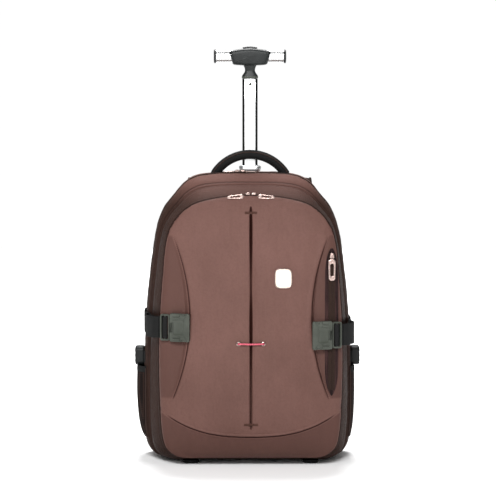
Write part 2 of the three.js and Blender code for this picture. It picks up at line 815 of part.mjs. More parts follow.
// Round eyelet with its hole facing forwards
function eyelet(sign) {
  const x = (sign * eyeletSpan) / 2;
  const seat = coverSeat(x - eyeletRadius, x + eyeletRadius, eyeletZ - eyeletRadius, eyeletZ + eyeletRadius);
  const [inner, outer] = [eyeletRadius * 0.5, eyeletRadius];
  const profile = [[inner, 0], [outer, 0], [lerp(inner, outer, 0.5), eyeletWall], [inner, 0]];
  const ring = turnedAboutX(profile, 12).rotateZ(-Math.PI / 2);
  return ring.translate(x, seat - clearance, eyeletZ);
}

// Elastic held between the two eyelets, crossing in front of the pleat
function pleatElastic() {
  const half = eyeletSpan / 2;
  const seat = coverSeat(-half, half, eyeletZ - 2 * elasticRadius, eyeletZ + 2 * elasticRadius);
  const y = seat - clearance - eyeletWall - elasticRadius - clearance;
  const points = [-1, -0.6, 0, 0.6, 1].map((share) => (
    vector(share * (half + eyeletRadius / 2), y - elasticBow * (1 - share ** 2), eyeletZ)
  ));
  const circle = new THREE.Shape();
  circle.absarc(0, 0, elasticRadius, 0, 2 * Math.PI);
  return welded(new THREE.ExtrudeGeometry(circle, {
    steps: 8,
    curveSegments: 3,
    bevelEnabled: false,
    extrudePath: new THREE.CatmullRomCurve3(points),
  }));
}

// Zipper slider: a small humped block, long along its own X, standing up its own Y
function sliderMesh() {
  return plateMesh(roundedShape(sliderLength, sliderHeight, 1.2), sliderWidth, 0);
}

// Pull: a long plate with a rounded slot, long along its own X
function pullMesh(length, width) {
  const shape = roundedShape(length, width, width * 0.35);
  shape.holes.push(slotPath(length * 0.5, width * 0.42));
  return plateMesh(shape, pullWall, 0);
}

// Height of the front zipper's tape over a place across the bag
function frontZipTop(x) {
  const edge = { ...frontEdge, halfWidth: coverHalfWidth, top: coverTop };
  const [half, top] = [edge.halfWidth, edge.top];
  let [low, high] = [top / 2, top];
  for (let i = 0; i < 24; i += 1) {
    const middle = (low + high) / 2;
    const share = halfWidthShare('front', (middle - edge.bottom) / (top - edge.bottom));
    if (share * half > Math.abs(x)) low = middle;
    else high = middle;
  }
  return high;
}

function frontSlider(sign) {
  const x = sign * (sliderLength / 2 + sliderSpare);
  return sliderMesh().translate(x, frontZipTop(x) + sliderHeight / 2 + clearance, 0)
    .rotateX(Math.PI / 2)
    .translate(0, frontY + frontZipWidth / 2, 0);
}

// Front pull: hangs forwards from its slider over the edge of the cover and lies along it
function frontPull(sign) {
  const start = sliderLength + frontPullGap;
  const x = sign * (start + pullLength / 2);
  const lift = Math.atan2(frontZipTop(start + pullLength) - frontZipTop(start), pullLength);
  const z = frontZipTop(x) - 1;
  const seat = Math.min(coverSeat(x - pullLength / 2, x + pullLength / 2, z - pullWidth / 2, z), frontY);
  return pullMesh(pullLength, pullWidth)
    .rotateX(Math.PI / 2)
    .rotateY(-sign * lift)
    .translate(x, seat - pullWall / 2 - clearance, z);
}

// Main sliders and their pulls lie on top of the bag, over the main zipper
function mainSlider(sign) {
  const x = mainPullShift + sign * (sliderLength / 2 + sliderSpare);
  const z = bagTop + clearance + sliderHeight / 2;
  return sliderMesh().rotateX(Math.PI / 2).translate(x, mainZipY, z);
}

function mainPull(sign) {
  const x = mainPullShift + sign * (sliderLength + mainPullGap + mainPullLength / 2);
  const z = bagTop + clearance;
  return pullMesh(mainPullLength, pullWidth).translate(x, mainZipY, z + pullWall / 2);
}

// Pocket slider on its tape, and the pull that hangs from it
const pocketSliderZ = pocketZipTop - sliderLength / 2 - sliderSpare;
const pocketHingeZ = pocketSliderZ - sliderLength / 3;
const pocketPullTop = pocketSliderZ - sliderLength / 2 - sliderSpare;

function pocketTapeFront() {
  const half = pocketPullWidth / 2;
  return coverSeat(pocketZipX - half, pocketZipX + half, pocketHingeZ - pocketPullLength, pocketZipTop)
    - pocketZipStand - zipWall;
}

function pocketSlider() {
  const [half, bottom] = [sliderWidth / 2, pocketSliderZ - sliderLength / 2];
  const seat = coverSeat(pocketZipX - half, pocketZipX + half, bottom, pocketZipTop);
  return sliderMesh()
    .rotateX(Math.PI / 2)
    .rotateY(Math.PI / 2)
    .rotateZ(Math.PI / 2)
    .translate(pocketZipX, seat - pocketZipStand - zipWall - clearance - sliderHeight / 2, pocketSliderZ);
}

function pocketPull() {
  const z = pocketPullTop - pocketPullLength / 2;
  return pullMesh(pocketPullLength, pocketPullWidth)
    .rotateZ(Math.PI / 2)
    .rotateX(Math.PI / 2)
    .translate(pocketZipX, pocketTapeFront() - clearance - pullWall / 2, z);
}

// Grab handle: one arc from foot to foot, its ends seated over the top of the bag
function grabHandle() {
  const foot = topAt(grabY, grabSpan - grabThick / 2) + 2 * clearance + grabThick / 3;
  const rise = grabTop - foot;
  const radius = (grabSpan ** 2 + rise ** 2) / (2 * rise);
  const reach = Math.asin(Math.min(grabSpan / radius, 1));
  const count = 18;
  const path = Array.from({ length: count + 1 }, (unused, i) => {
    const angle = lerp(-reach, reach, i / count);
    return vector(radius * Math.sin(angle), grabY, grabTop - radius * (1 - Math.cos(angle)));
  });
  return sweptMesh(path, vector(0, 1, 0), grabDepth, grabThick, 10, 0.8);
}

// Shoulder strap: padded, from the top of the back panel in an arch down to its end
function shoulderStrap(sign) {
  const back = backY + strapPad / 2 + strapGap;
  const places = [
    { out: -0.67, reach: 0, up: -0.13 },
    { out: -0.33, reach: 0.1, up: 0 },
    { out: 0, reach: 0.55, up: 0.03 },
    { out: 0.33, reach: 0.92, up: -0.15 },
    { out: 0.67, reach: 1, up: -0.5 },
    { out: 1, reach: strapEndReach, up: -1 },
  ];
  const drop = strapRootZ - padEndZ;
  const points = places.map(({ out, reach, up }) => (
    vector(sign * (strapX + strapSplay * out), back + strapReach * reach, strapRootZ + drop * up)
  ));
  const taper = (share) => lerp(1, 0.72, smooth((share - 0.55) / 0.45));
  return sweptMesh(smoothPath(points, 12), vector(1, 0, 0), strapWidth, strapPad, 8, 0.55, taper);
}

function ladderLock(sign) {
  const back = backY + strapPad / 2 + strapGap + strapReach * strapEndReach;
  const shape = roundedShape(lowerWebbingWidth + 2 * lockRim, lockHeight, lockCorner);
  shape.holes.push(slotPath(lowerWebbingWidth + 1, lockWall));
  return plateMesh(shape, lockWall, 0).rotateX(Math.PI / 2)
    .translate(sign * (strapX + strapSplay), back, padEndZ - lockHeight / 2 - clearance);
}

// Lower webbing: from the ladder lock down to the lower corner of the back
function lowerWebbing(sign) {
  const back = backY + strapPad / 2 + strapGap + strapReach * strapEndReach;
  const top = padEndZ - lockHeight - 2 * clearance;
  const points = [
    vector(sign * (strapX + strapSplay), back, top),
    vector(sign * (strapX + strapSplay * 1.35), back - strapReach * 0.3, lerp(top, baseTop, 0.45)),
    vector(sign * (strapX + strapSplay * 1.7), backY + lowerWebbingStand, lerp(top, baseTop, 0.82)),
  ];
  return sweptMesh(smoothPath(points, 8), vector(1, 0, 0), lowerWebbingWidth, webbingWall, 6, 0.35);
}

function backPad() {
  const shape = roundedShape(2 * padHalfWidth, padTop - padBottom, padCorner);
  return plateMesh(shape, padWall, padEdge, 2).rotateX(Math.PI / 2)
    .translate(0, backY + clearance + padWall / 2, (padTop + padBottom) / 2);
}

// Base: a moulded tray under the back, with a housing over each wheel and a hole for each axle
const axleZ = wheelRadius;
const baseTop = axleZ + wheelRadius + wheelGap + baseWall;
const sleeveWidth = tubeWidth + 2 * (sleeveGap + sleeveWall);
const sleeveDepth = tubeDepth + 2 * (sleeveGap + sleeveWall);
const wellInner = wheelX - wheelWidth / 2 - wheelGap;
const wellOuter = wheelX + wheelWidth / 2 + wheelGap;
const wellFront = wheelY - wheelRadius - wheelGap;

function baseMesh() {
  const block = blockMesh([-baseHalfWidth, baseFrontY, groundGap], [baseHalfWidth, baseBackY, baseTop]);
  const inner = wellInner - baseWall;
  const hollow = blockMesh(
    [-inner, baseFrontY + baseWall, groundGap + baseWall],
    [inner, baseBackY - baseWall, 2 * baseTop],
  );
  const wells = [-1, 1].map((sign) => {
    const [x0, x1] = [sign * wellInner, sign * wellOuter].sort((a, b) => a - b);
    return blockMesh([x0, wellFront, -baseTop], [x1, 2 * baseBackY, baseTop - baseWall]);
  });
  const axles = [-1, 1].map((sign) => {
    const length = wellOuter - wellInner + 4 * baseWall;
    return rodMesh(axleRadius + clearance, length / 2).translate(sign * wheelX, wheelY, axleZ);
  });
  return cut(block, hollow, ...wells, ...axles);
}

function axleMesh(sign) {
  const half = (wellOuter - wellInner) / 2 + baseWall - clearance;
  return rodMesh(axleRadius, half).translate(sign * wheelX, wheelY, axleZ);
}

function tyreMesh(sign) {
  const half = wheelWidth / 2;
  const [inner, outer] = [wheelRadius - tyreWall, wheelRadius / Math.cos(Math.PI / wheelSides)];
  const [inset, shoulder] = [wheelWidth / 12, wheelWidth / 6];
  const side = [[inner, half - inset], [outer - tyreWall * 0.4, half], [outer, half - shoulder]];
  const profile = [...side.map(([r, x]) => [r, -x]), ...side.reverse(), [inner, inset - half]];
  return turnedAboutX(profile, wheelSides).translate(sign * wheelX, wheelY, axleZ);
}

function hubMesh(sign) {
  const half = wheelWidth / 2;
  const rim = (wheelRadius - tyreWall) * Math.cos(Math.PI / wheelSides) - clearance;
  const bore = axleRadius + clearance;
  const web = half - hubRecess;
  const side = [
    [bore, half + hubBossProud], [bore + hubBoss, half + hubBossProud], [bore + hubBoss * 1.2, web],
    [rim - hubRim, web], [rim, half - wheelWidth / 12],
  ];
  const profile = [...side.map(([r, x]) => [r, -x]), ...side.reverse(), [bore, -half - hubBossProud]];
  return turnedAboutX(profile, hubSides).translate(sign * wheelX, wheelY, axleZ);
}

function footMesh(sign) {
  const top = ringAt(footY + footRadius).bottom - clearance;
  const [across, back] = [vector(1, 0, 0), vector(0, 1, 0)];
  const rows = [{ up: 0, wide: 0.86 }, { up: 0.3, wide: 1 }, { up: 1, wide: 0.94 }];
  const sections = rows.map(({ up, wide }) => {
    const radius = footRadius * wide;
    return roundSection(vector(sign * footX, footY, up * top), across, radius, back, radius, 12, 1);
  });
  return loftMesh(sections);
}

// Rounded rectangular tube standing up, from its outer size and wall
function tubeMesh(width, depth, corner, wall, z0, z1) {
  const shape = roundedShape(width, depth, corner);
  const hole = roundedShape(width - 2 * wall, depth - 2 * wall, Math.max(corner - wall, 0.5));
  shape.holes.push(new THREE.Path(hole.getPoints(1).reverse()));
  return plateMesh(shape, z1 - z0, 0).translate(0, tubeY, (z0 + z1) / 2);
}

const handleTube = () => tubeMesh(tubeWidth, tubeDepth, tubeCorner, tubeWall, tubeBottom, tubeTop);
const outerTube = () => tubeMesh(
  sleeveWidth, sleeveDepth, tubeCorner + sleeveWall, sleeveWall, groundGap + baseWall + clearance, sleeveTop,
);

function tubeCollar() {
  const [width, depth] = [sleeveWidth + 2 * collarWall, sleeveDepth + 2 * collarWall];
  const shape = roundedShape(width, depth, tubeCorner + collarWall);
  const hole = roundedShape(tubeWidth + 2 * sleeveGap, tubeDepth + 2 * sleeveGap, tubeCorner);
  shape.holes.push(new THREE.Path(hole.getPoints(1).reverse()));
  const z = sleeveTop + clearance + collarHeight / 2;
  return plateMesh(shape, collarHeight, 0).translate(0, tubeY, z);
}

function handleNeck() {
  const rows = [
    { up: 0, wide: 0.8, deep: 1.06 },
    { up: 0.06, wide: 1, deep: 1.12 },
    { up: 0.22, wide: 0.9, deep: 1.06 },
    { up: 0.42, wide: 0.3, deep: 0.94 },
    { up: 0.58, wide: 0, deep: 0.87 },
    { up: 0.78, wide: 0.1, deep: 0.94 },
    { up: 1, wide: 0.57, deep: 1 },
  ];
  const [low, high] = [tubeTop + clearance, gripBottom - clearance];
  return loftMesh(rows.map(({ up, wide, deep }) => roundSection(
    vector(0, tubeY, lerp(low, high, up)),
    vector(1, 0, 0), lerp(neckWaist, neckFoot, wide) / 2, vector(0, 1, 0), (tubeDepth * deep) / 2, 12, 0.6,
  )));
}

function handleBar() {
  return rodMesh(barRadius, barHalfLength - clearance).translate(0, tubeY, barZ);
}

function barCap(sign) {
  const [start, end] = [barHalfLength, barHalfLength + capLength];
  const bead = capLength / 6;
  const profile = [
    [0, start], [barRadius, start], [barRadius + bead, end - 2 * bead], [barRadius - bead, end], [0, end],
  ];
  const cap = turnedAboutX(profile, 16).translate(0, tubeY, barZ);
  return sign < 0 ? mirrored(cap) : cap;
}

// Grip moulded round the middle of the bar, with a pocket in its top for the button
function handleGrip() {
  const shape = new THREE.Shape();
  const [top, bottom] = [gripTopWidth / 2, gripBottomWidth / 2];
  const [corner, flare, crown] = [gripCorner, gripCorner / 4, gripCorner / 8];
  shape.moveTo(-bottom + corner, gripBottom);
  shape.lineTo(bottom - corner, gripBottom);
  shape.quadraticCurveTo(bottom, gripBottom, bottom + flare, gripBottom + corner);
  shape.lineTo(top, gripTop - corner - 2 * crown);
  shape.quadraticCurveTo(top, gripTop - 2 * crown, top - corner, gripTop - 2 * crown);
  shape.quadraticCurveTo(0, gripTop + crown, -top + corner, gripTop - 2 * crown);
  shape.quadraticCurveTo(-top, gripTop - 2 * crown, -top, gripTop - corner - 2 * crown);
  shape.lineTo(-bottom - flare, gripBottom + corner);
  shape.quadraticCurveTo(-bottom, gripBottom, -bottom + corner, gripBottom);
  const grip = plateMesh(shape, gripDepth, gripEdge, 2).rotateX(Math.PI / 2).translate(0, tubeY, 0);
  const bore = rodMesh(barRadius + clearance, gripTopWidth).translate(0, tubeY, barZ);
  const [w, d] = [buttonWidth / 2 + buttonGap, buttonDepth / 2 + buttonGap];
  const pocket = blockMesh([-w, tubeY - d, barZ], [w, tubeY + d, gripTop + gripCorner]);
  return cut(grip, bore, pocket);
}

function releaseButton() {
  const bottom = barZ + barRadius + clearance + buttonTravel;
  const shape = roundedShape(buttonWidth, buttonDepth, buttonCorner);
  const thickness = buttonTop - bottom;
  return plateMesh(shape, thickness, 1).translate(0, tubeY, bottom + thickness / 2);
}

// Finishes
const finish = (color, roughness, metalness = 0) => () => new THREE.MeshStandardMaterial({
  color, roughness, metalness, flatShading: true,
});
const cloth = finish(0x82625c, 0.6);
const darkCloth = finish(0x4a342e, 0.7);
const pocketCloth = finish(0x3a2c28, 0.85);
const blackWebbing = finish(0x1e1e1e, 0.8);
const blackPlastic = finish(0x222222, 0.5);
const greyPlastic = finish(0x5f625a, 0.45);
const silver = finish(0xdcdcd8, 0.3, 0.9);
const badgeFinish = finish(0xf0e8dc, 0.35, 0.1);
const redElastic = finish(0xd0606e, 0.6);
const rubber = finish(0x1b1b1b, 0.9);

const bag = new THREE.Group();

function add(name, geometry, material) {
  const mesh = new THREE.Mesh(geometry, material());
  mesh.name = name;
  bag.add(mesh);
}

function addBody() {
  add('front_cover', frontCover(), cloth);
  add('front_tray', trayMesh(frontRings, partitionY, clothWall), cloth);
  const outer = middleRings.map((ring) => ringPoints(ring));
  add('main_cover', wallMesh(outer, innerRings(middleRings), true), cloth);
  add('main_tray', mainTray(), cloth);
  add('front_zipper', frontZipper(), darkCloth);
  add('main_zipper', mainZipper(), darkCloth);
  const [x0, x1] = [pocketZipX - pocketZipWidth / 2, pocketZipX + pocketZipWidth / 2];
  const pocketTape = coverPatch(x0, x1, pocketZipBottom, pocketZipTop, pocketZipStand, zipWall, 3, 10);
  add('pocket_zipper', pocketTape, darkCloth);
  add('grab_handle', grabHandle(), blackWebbing);
  add('back_pad', backPad(), pocketCloth);
}

function addFrontTrim() {
  add('badge', badge(), badgeFinish);
  add('pleat_elastic', pleatElastic(), redElastic);
  add('pocket_slider', pocketSlider(), silver);
  add('pocket_pull', pocketPull(), silver);
  for (const side of bothSides) {
    const sign = signOf[side];
    add(`eyelet_${side}`, eyelet(sign), silver);
    add(`front_slider_${side}`, frontSlider(sign), silver);
    add(`front_pull_${side}`, frontPull(sign), silver);
    add(`main_slider_${side}`, mainSlider(sign), silver);
    add(`main_pull_${side}`, mainPull(sign), silver);
  }
}

function addSides() {
  for (const side of bothSides) {
    const sign = signOf[side];
    add(`side_pocket_${side}`, sidePocket(side), pocketCloth);
    add(`buckle_body_${side}`, buckleBody(side), greyPlastic);
    add(`buckle_tongue_${side}`, buckleTongue(side), greyPlastic);
    add(`compression_strap_${side}`, compressionStrap(side), blackWebbing);
    add(`side_adjuster_${side}`, sideAdjuster(side), blackPlastic);
    add(`shoulder_strap_${side}`, shoulderStrap(sign), pocketCloth);
    add(`ladder_lock_${side}`, ladderLock(sign), blackPlastic);
    add(`lower_webbing_${side}`, lowerWebbing(sign), blackWebbing);
  }
}

function addRunningGear() {
  add('base', baseMesh(), blackPlastic);
  for (const side of bothSides) {
    const sign = signOf[side];
    add(`axle_${side}`, axleMesh(sign), silver);
    add(`tyre_${side}`, tyreMesh(sign), rubber);
    add(`hub_${side}`, hubMesh(sign), greyPlastic);
    add(`foot_${side}`, footMesh(sign), blackPlastic);
  }
}

function addTrolley() {
  add('outer_tube', outerTube(), silver);
  add('tube_collar', tubeCollar(), blackPlastic);
  add('handle_tube', handleTube(), silver);
  add('handle_neck', handleNeck(), blackPlastic);
  add('handle_bar', handleBar(), silver);
  add('bar_cap_left', barCap(-1), blackPlastic);
  add('bar_cap_right', barCap(1), blackPlastic);
  add('handle_grip', handleGrip(), blackPlastic);
  add('release_button', releaseButton(), blackPlastic);
}

addBody();
addFrontTrim();
addSides();
addRunningGear();
addTrolley();

// The origin is under the middle of the whole bag, on the ground
bag.updateMatrixWorld(true);
const middle = new THREE.Box3().setFromObject(bag, true).getCenter(vector(0, 0, 0));
bag.position.set(-middle.x, -middle.y, 0);

export default bag;
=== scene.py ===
# Looks of the wheeled backpack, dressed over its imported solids.
# Metres: X runs across the bag, -Y is its front, +Z is up, and it stands on Z = 0.

import math

import bmesh
import bpy
import numpy as np
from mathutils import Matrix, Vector


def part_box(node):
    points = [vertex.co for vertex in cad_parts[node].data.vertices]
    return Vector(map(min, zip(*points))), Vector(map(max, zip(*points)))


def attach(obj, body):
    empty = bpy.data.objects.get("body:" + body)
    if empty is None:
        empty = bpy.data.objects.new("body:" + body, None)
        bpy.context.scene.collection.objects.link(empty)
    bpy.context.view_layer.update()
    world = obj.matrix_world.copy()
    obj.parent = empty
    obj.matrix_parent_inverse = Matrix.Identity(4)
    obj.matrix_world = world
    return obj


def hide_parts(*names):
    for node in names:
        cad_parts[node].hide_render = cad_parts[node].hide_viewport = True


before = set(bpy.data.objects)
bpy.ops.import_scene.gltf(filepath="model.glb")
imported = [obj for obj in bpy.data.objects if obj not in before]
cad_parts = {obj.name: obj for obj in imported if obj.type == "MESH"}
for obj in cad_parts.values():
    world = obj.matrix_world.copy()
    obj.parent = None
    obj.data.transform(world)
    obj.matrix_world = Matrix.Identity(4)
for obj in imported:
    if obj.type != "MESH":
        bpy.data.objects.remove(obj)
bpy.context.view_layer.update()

MM = 0.001
X_WAY, Y_WAY, Z_WAY = np.eye(3)
SIGN = {"left": -1, "right": 1}

# Body of the bag, in millimetres as in the part's source
CLEARANCE = 0.3
CLOTH = 2.0
GROUND_GAP = 5.0
BAG_TOP = 501.0
BODY_HALF = 181.0
BODY_LEAN = -5.0
FRONT_Y = -84.0
PARTITION_Y = -26.0
MAIN_ZIP_Y = 19.0
BACK_Y = 80.0
COVER_HALF = 157.0
COVER_TOP = 465.0
COVER_BOTTOM = 14.0
COVER_CROWN = 28.0
ZIP_WALL = 1.6
ZIP_SINK = ZIP_WALL + CLEARANCE
FRONT_ZIP_WIDTH = 8.0
MAIN_ZIP_WIDTH = 10.0
FRONT_ZIP_END = 100.0
MAIN_ZIP_END = 150.0

# Features of the front cover
PLEAT_WIDTH = 6.4
PLEAT_DEPTH = 5.0
PLEAT_TOP = 449.0
PLEAT_BOTTOM = 63.0
PLEAT_PINCH = 303.0
LENS_TOP = 402.0
LENS_BOTTOM = 114.0
LENS_INNER = 104.0
LENS_END_INNER = 135.0
LENS_OUTER = {-1: 154.0, 1: 127.0}
LENS_DEPTH = 8.0
SMILE_HEIGHT = 55.0
SMILE_RISE = 46.0
SMILE_STEP = 2.0

# Pockets, straps and trolley
POCKET_BULGE = {-1: 15.0, 1: 7.0}
POCKET_FLOOR, POCKET_RIM = 40.0, 160.0
POCKET_FRONT, POCKET_BACK = -16.0, 66.0
GRAB_SPAN = 56.0
STRAP_ROOT, STRAP_END = 476.0, 214.0
STRAP_HALF = 18.6
STRAP_TAIL_BULGE = 9.0
TUBE_Y = 62.0
BAR_RADIUS = 11.5
TYRE_WALL = 7.25
HUB_BORE = 4.4
# Width, depth, corner and wall of the trolley's tubes
SLEEVE_TUBE = (31, 20, 5.5, 1.5)
SLIDING_TUBE = (27, 16, 4, 1.4)

# Outline of the panels, bottom to top: shares of height and of half width, main compartment and front cover
OUTLINE_ROWS = [
    # height, main, front
    (0, 0.36, 0.38),
    (0, 0.8, 0.74),
    (0.01, 0.9, 0.83),
    (0.04, 0.965, 0.925),
    (0.09, 0.99, 0.965),
    (0.21, 1, 0.99),
    (0.4, 0.99, 1),
    (0.56, 0.965, 0.985),
    (0.7, 0.922, 0.955),
    (0.806, 0.877, 0.925),
    (0.87, 0.815, 0.88),
    (0.925, 0.7, 0.775),
    (0.965, 0.605, 0.625),
    (0.99, 0.47, 0.36),
]

# Sections of the body between its seams: share of the way back, then shares of the way from the front cover's
# edge out to the full half width, up to the top and down to the underside, and the outline's blend
FRONT_SECTIONS = [(0.42, 0.33, 0.18, 0.7, 0.4), (0.72, 0.54, 0.34, 0.93, 0.7), (1, 0.62, 0.42, 1, 0.8)]
MIDDLE_SECTIONS = [(0.3, 0.87, 0.71, 1, 0.95), (0.66, 1, 0.92, 1, 1)]
REAR_SECTIONS = [
    (0.34, 1, 1, 1, 1),
    (0.7, 0.87, 0.87, 0.86, 1),
    (0.9, 0.6, 0.63, 0.3, 1),
    (1, 0.15, 0.26, -1, 1),
]

# Where the source's origin lies in the frame: across from the middle of the handle's bar, and deep from the
# first edge of the front tray
BAR_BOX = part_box("handle_bar")
SHIFT = np.array(
    [(BAR_BOX[0].x + BAR_BOX[1].x) / 2 / MM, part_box("front_tray")[0].y / MM - FRONT_Y - CLEARANCE, 0]
)


def source_box(node):
    """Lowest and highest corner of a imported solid, in the source's millimetres."""
    return [np.array(corner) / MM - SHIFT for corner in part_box(node)]


def middle_of(node):
    """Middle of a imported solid's box, in the source's millimetres."""
    low, high = source_box(node)
    return (low + high) / 2


def lerp(a, b, t):
    """The value a share t of the way from a to b."""
    return a + (b - a) * t


def ease(value):
    """Smooth step from 0 to 1: 3t^2 - 2t^3 of the value clamped between them."""
    t = np.clip(value, 0, 1)
    return t * t * (3 - 2 * t)


def bell(distance, width):
    """Rounded bump: exp of minus the squared ratio of distance to width."""
    return np.exp(-((distance / width) ** 2))


def bent(value, power):
    """The value's size raised to a power, with its sign kept: bends a circle towards a rounded
    rectangle."""
    return np.sign(value) * np.abs(value) ** power


def unit(vectors):
    """The same directions at length one."""
    return vectors / np.linalg.norm(vectors, axis=-1, keepdims=True)


def run_length(line):
    """Length of the line from its start to each of its points."""
    return np.concatenate([[0], np.cumsum(np.linalg.norm(np.diff(line, axis=0), axis=1))])


def smooth_curve(points, count, closed=False):
    """Centripetal Catmull-Rom curve through the points, taken again at even steps along its length."""
    p = np.asarray(points, float)
    if closed:
        p = np.vstack([p[-1], p, p[0], p[1]])
    else:
        p = np.vstack([2 * p[0] - p[1], p, 2 * p[-1] - p[-2]])
    p0, p1, p2, p3 = p[:-3], p[1:-2], p[2:-1], p[3:]

    def root(a, b):
        """Square root of the distance between two rows of points."""
        return np.maximum(np.linalg.norm(b - a, axis=1), 1e-9)[:, None] ** 0.5

    d0, d1, d2 = root(p0, p1), root(p1, p2), root(p2, p3)
    m1 = ((p1 - p0) / d0 - (p2 - p0) / (d0 + d1) + (p2 - p1) / d1) * d1
    m2 = ((p2 - p1) / d1 - (p3 - p1) / (d1 + d2) + (p3 - p2) / d2) * d1
    t = np.linspace(0, 1, 24, endpoint=False)[None, :, None]
    c2, c3 = -3 * p1 + 3 * p2 - 2 * m1 - m2, 2 * p1 - 2 * p2 + m1 + m2
    dense = p1[:, None] + m1[:, None] * t + c2[:, None] * t**2 + c3[:, None] * t**3
    dense = np.vstack([dense.reshape(-1, p.shape[1]), p2[-1]])
    return even_steps(dense, count, closed)


def even_steps(line, count, closed=False):
    """The same line taken at count even steps of its length; a closed line leaves out the repeated last
    point."""
    length = run_length(line)
    wanted = np.linspace(0, length[-1], count + 1)[:-1] if closed else np.linspace(0, length[-1], count)
    return np.stack([np.interp(wanted, length, line[:, i]) for i in range(line.shape[1])], 1)


def outline_shares(column, count):
    """Even steps round a panel's outline, anticlockwise from the middle of its underside, in shares of
    its box."""
    rows = np.array(OUTLINE_ROWS)
    height = BAG_TOP - GROUND_GAP
    right = np.stack([rows[:, column] * BODY_HALF, rows[:, 0] * height], 1)
    left = right[::-1] * [-1, 1]
    ring = np.vstack([[[0, 0]], right, [[0, height]], left])
    loop = smooth_curve(ring, count, closed=True) / [BODY_HALF, height]
    loop[:, 1] = np.clip(loop[:, 1], 0, 1)
    return loop


ROUND = 320
MAIN_OUTLINE = outline_shares(1, ROUND)
FRONT_OUTLINE = outline_shares(2, ROUND)
FINE_OUTLINES = {"main": outline_shares(1, 800), "front": outline_shares(2, 800)}


def half_width_share(column, height):
    """Half width of an outline at shares of its height, read off its right-hand side above the flat
    underside."""
    right = FINE_OUTLINES[column][20:401]
    return np.interp(height, np.maximum.accumulate(right[:, 1]), np.maximum(right[:, 0], 0))


def section(start, end, row):
    """Depth, half width, sideways shift, bottom, top and blend of one body section, from its row of
    shares."""
    along, out, up, down, blend = row
    return (
        lerp(start, end, along),
        lerp(COVER_HALF, BODY_HALF, out),
        BODY_LEAN * out,
        lerp(COVER_BOTTOM, GROUND_GAP, down),
        lerp(COVER_TOP, BAG_TOP, up),
        blend,
    )


FRONT_ZIP_BACK = FRONT_Y + FRONT_ZIP_WIDTH
MAIN_ZIP_SPAN = (MAIN_ZIP_Y - MAIN_ZIP_WIDTH / 2, MAIN_ZIP_Y + MAIN_ZIP_WIDTH / 2)
FRONT_EDGE = (COVER_HALF - ZIP_SINK, 0, COVER_BOTTOM, COVER_TOP - ZIP_SINK, 0)
MAIN_EDGE = (BODY_HALF - ZIP_SINK, BODY_LEAN, GROUND_GAP, BAG_TOP - ZIP_SINK, 1)
FRONT_RINGS = [
    (FRONT_Y + CLEARANCE, *FRONT_EDGE),
    (FRONT_ZIP_BACK, *FRONT_EDGE),
    (FRONT_ZIP_BACK + ZIP_SINK, COVER_HALF + 1, 0, COVER_BOTTOM, COVER_TOP + 1, 0),
    *[section(FRONT_ZIP_BACK, PARTITION_Y, row) for row in FRONT_SECTIONS],
]
MIDDLE_RINGS = [
    (PARTITION_Y + CLEARANCE, *FRONT_RINGS[-1][1:]),
    *[section(PARTITION_Y, MAIN_ZIP_SPAN[0], row) for row in MIDDLE_SECTIONS],
    (MAIN_ZIP_SPAN[0], *MAIN_EDGE),
    (MAIN_ZIP_Y - CLEARANCE / 2, *MAIN_EDGE),
]
REAR_RINGS = [
    (MAIN_ZIP_Y + CLEARANCE / 2, *MAIN_EDGE),
    (MAIN_ZIP_SPAN[1], *MAIN_EDGE),
    *[section(MAIN_ZIP_SPAN[1], BACK_Y, row) for row in REAR_SECTIONS],
]
BODY_RINGS = np.array(FRONT_RINGS + MIDDLE_RINGS + REAR_RINGS)


def ring_points(rings, grow=0.0):
    """Points round each ring: the two outlines blended, spread over the ring's box grown by an amount."""
    rings = np.atleast_2d(rings)
    y, half, shift, bottom, top, blend = [rings[:, i, None] for i in range(6)]
    x = lerp(FRONT_OUTLINE[None, :, 0], MAIN_OUTLINE[None, :, 0], blend)
    z = lerp(FRONT_OUTLINE[None, :, 1], MAIN_OUTLINE[None, :, 1], blend)
    points = [shift + x * (half + grow), y + 0 * x, lerp(bottom - grow, top + grow, z)]
    return np.stack(points, -1)


def ring_at(y):
    """Sizes of the body's ring at any depth, between the two nearest rings."""
    return [np.interp(y, BODY_RINGS[:, 0], BODY_RINGS[:, i]) for i in range(1, 6)]


def side_at(y, z, sign):
    """Distance of the body's side from the middle plane, at a depth and height on one side."""
    half, shift, bottom, top, blend = ring_at(y)
    height = np.clip((z - bottom) / (top - bottom), 0, 1)
    share = lerp(half_width_share("front", height), half_width_share("main", height), blend)
    return share * half + sign * shift


def top_at(y, x):
    """Height of the body's top at a depth and distance from the middle."""
    heights = np.linspace(0.5, 1, 400) * BAG_TOP
    wide = side_at(np.full(400, float(y)), heights, 1 if x >= 0 else -1)
    return float(heights[wide > abs(x)].max())


def lens_shape(x, z):
    """Share of the way across the side panel from its inner seam, and share of the way up it."""
    side = np.where(x < 0, LENS_OUTER[-1], LENS_OUTER[1])
    middle, reach = (LENS_TOP + LENS_BOTTOM) / 2, (LENS_TOP - LENS_BOTTOM) / 2
    up = np.clip((z - LENS_BOTTOM) / (2 * reach), 0, 1)
    inner = lerp(LENS_INNER, LENS_END_INNER, np.clip(((z - middle) / reach) ** 2, 0, 1))
    return (np.abs(x) - inner) / np.maximum(side - inner, 8), up, inner


def smile_line(x):
    """Height of the seam over the bottom panel: it rises with the 2.6th power of the distance from the
    middle."""
    return SMILE_HEIGHT + SMILE_RISE * (np.abs(x) / COVER_HALF) ** 2.6


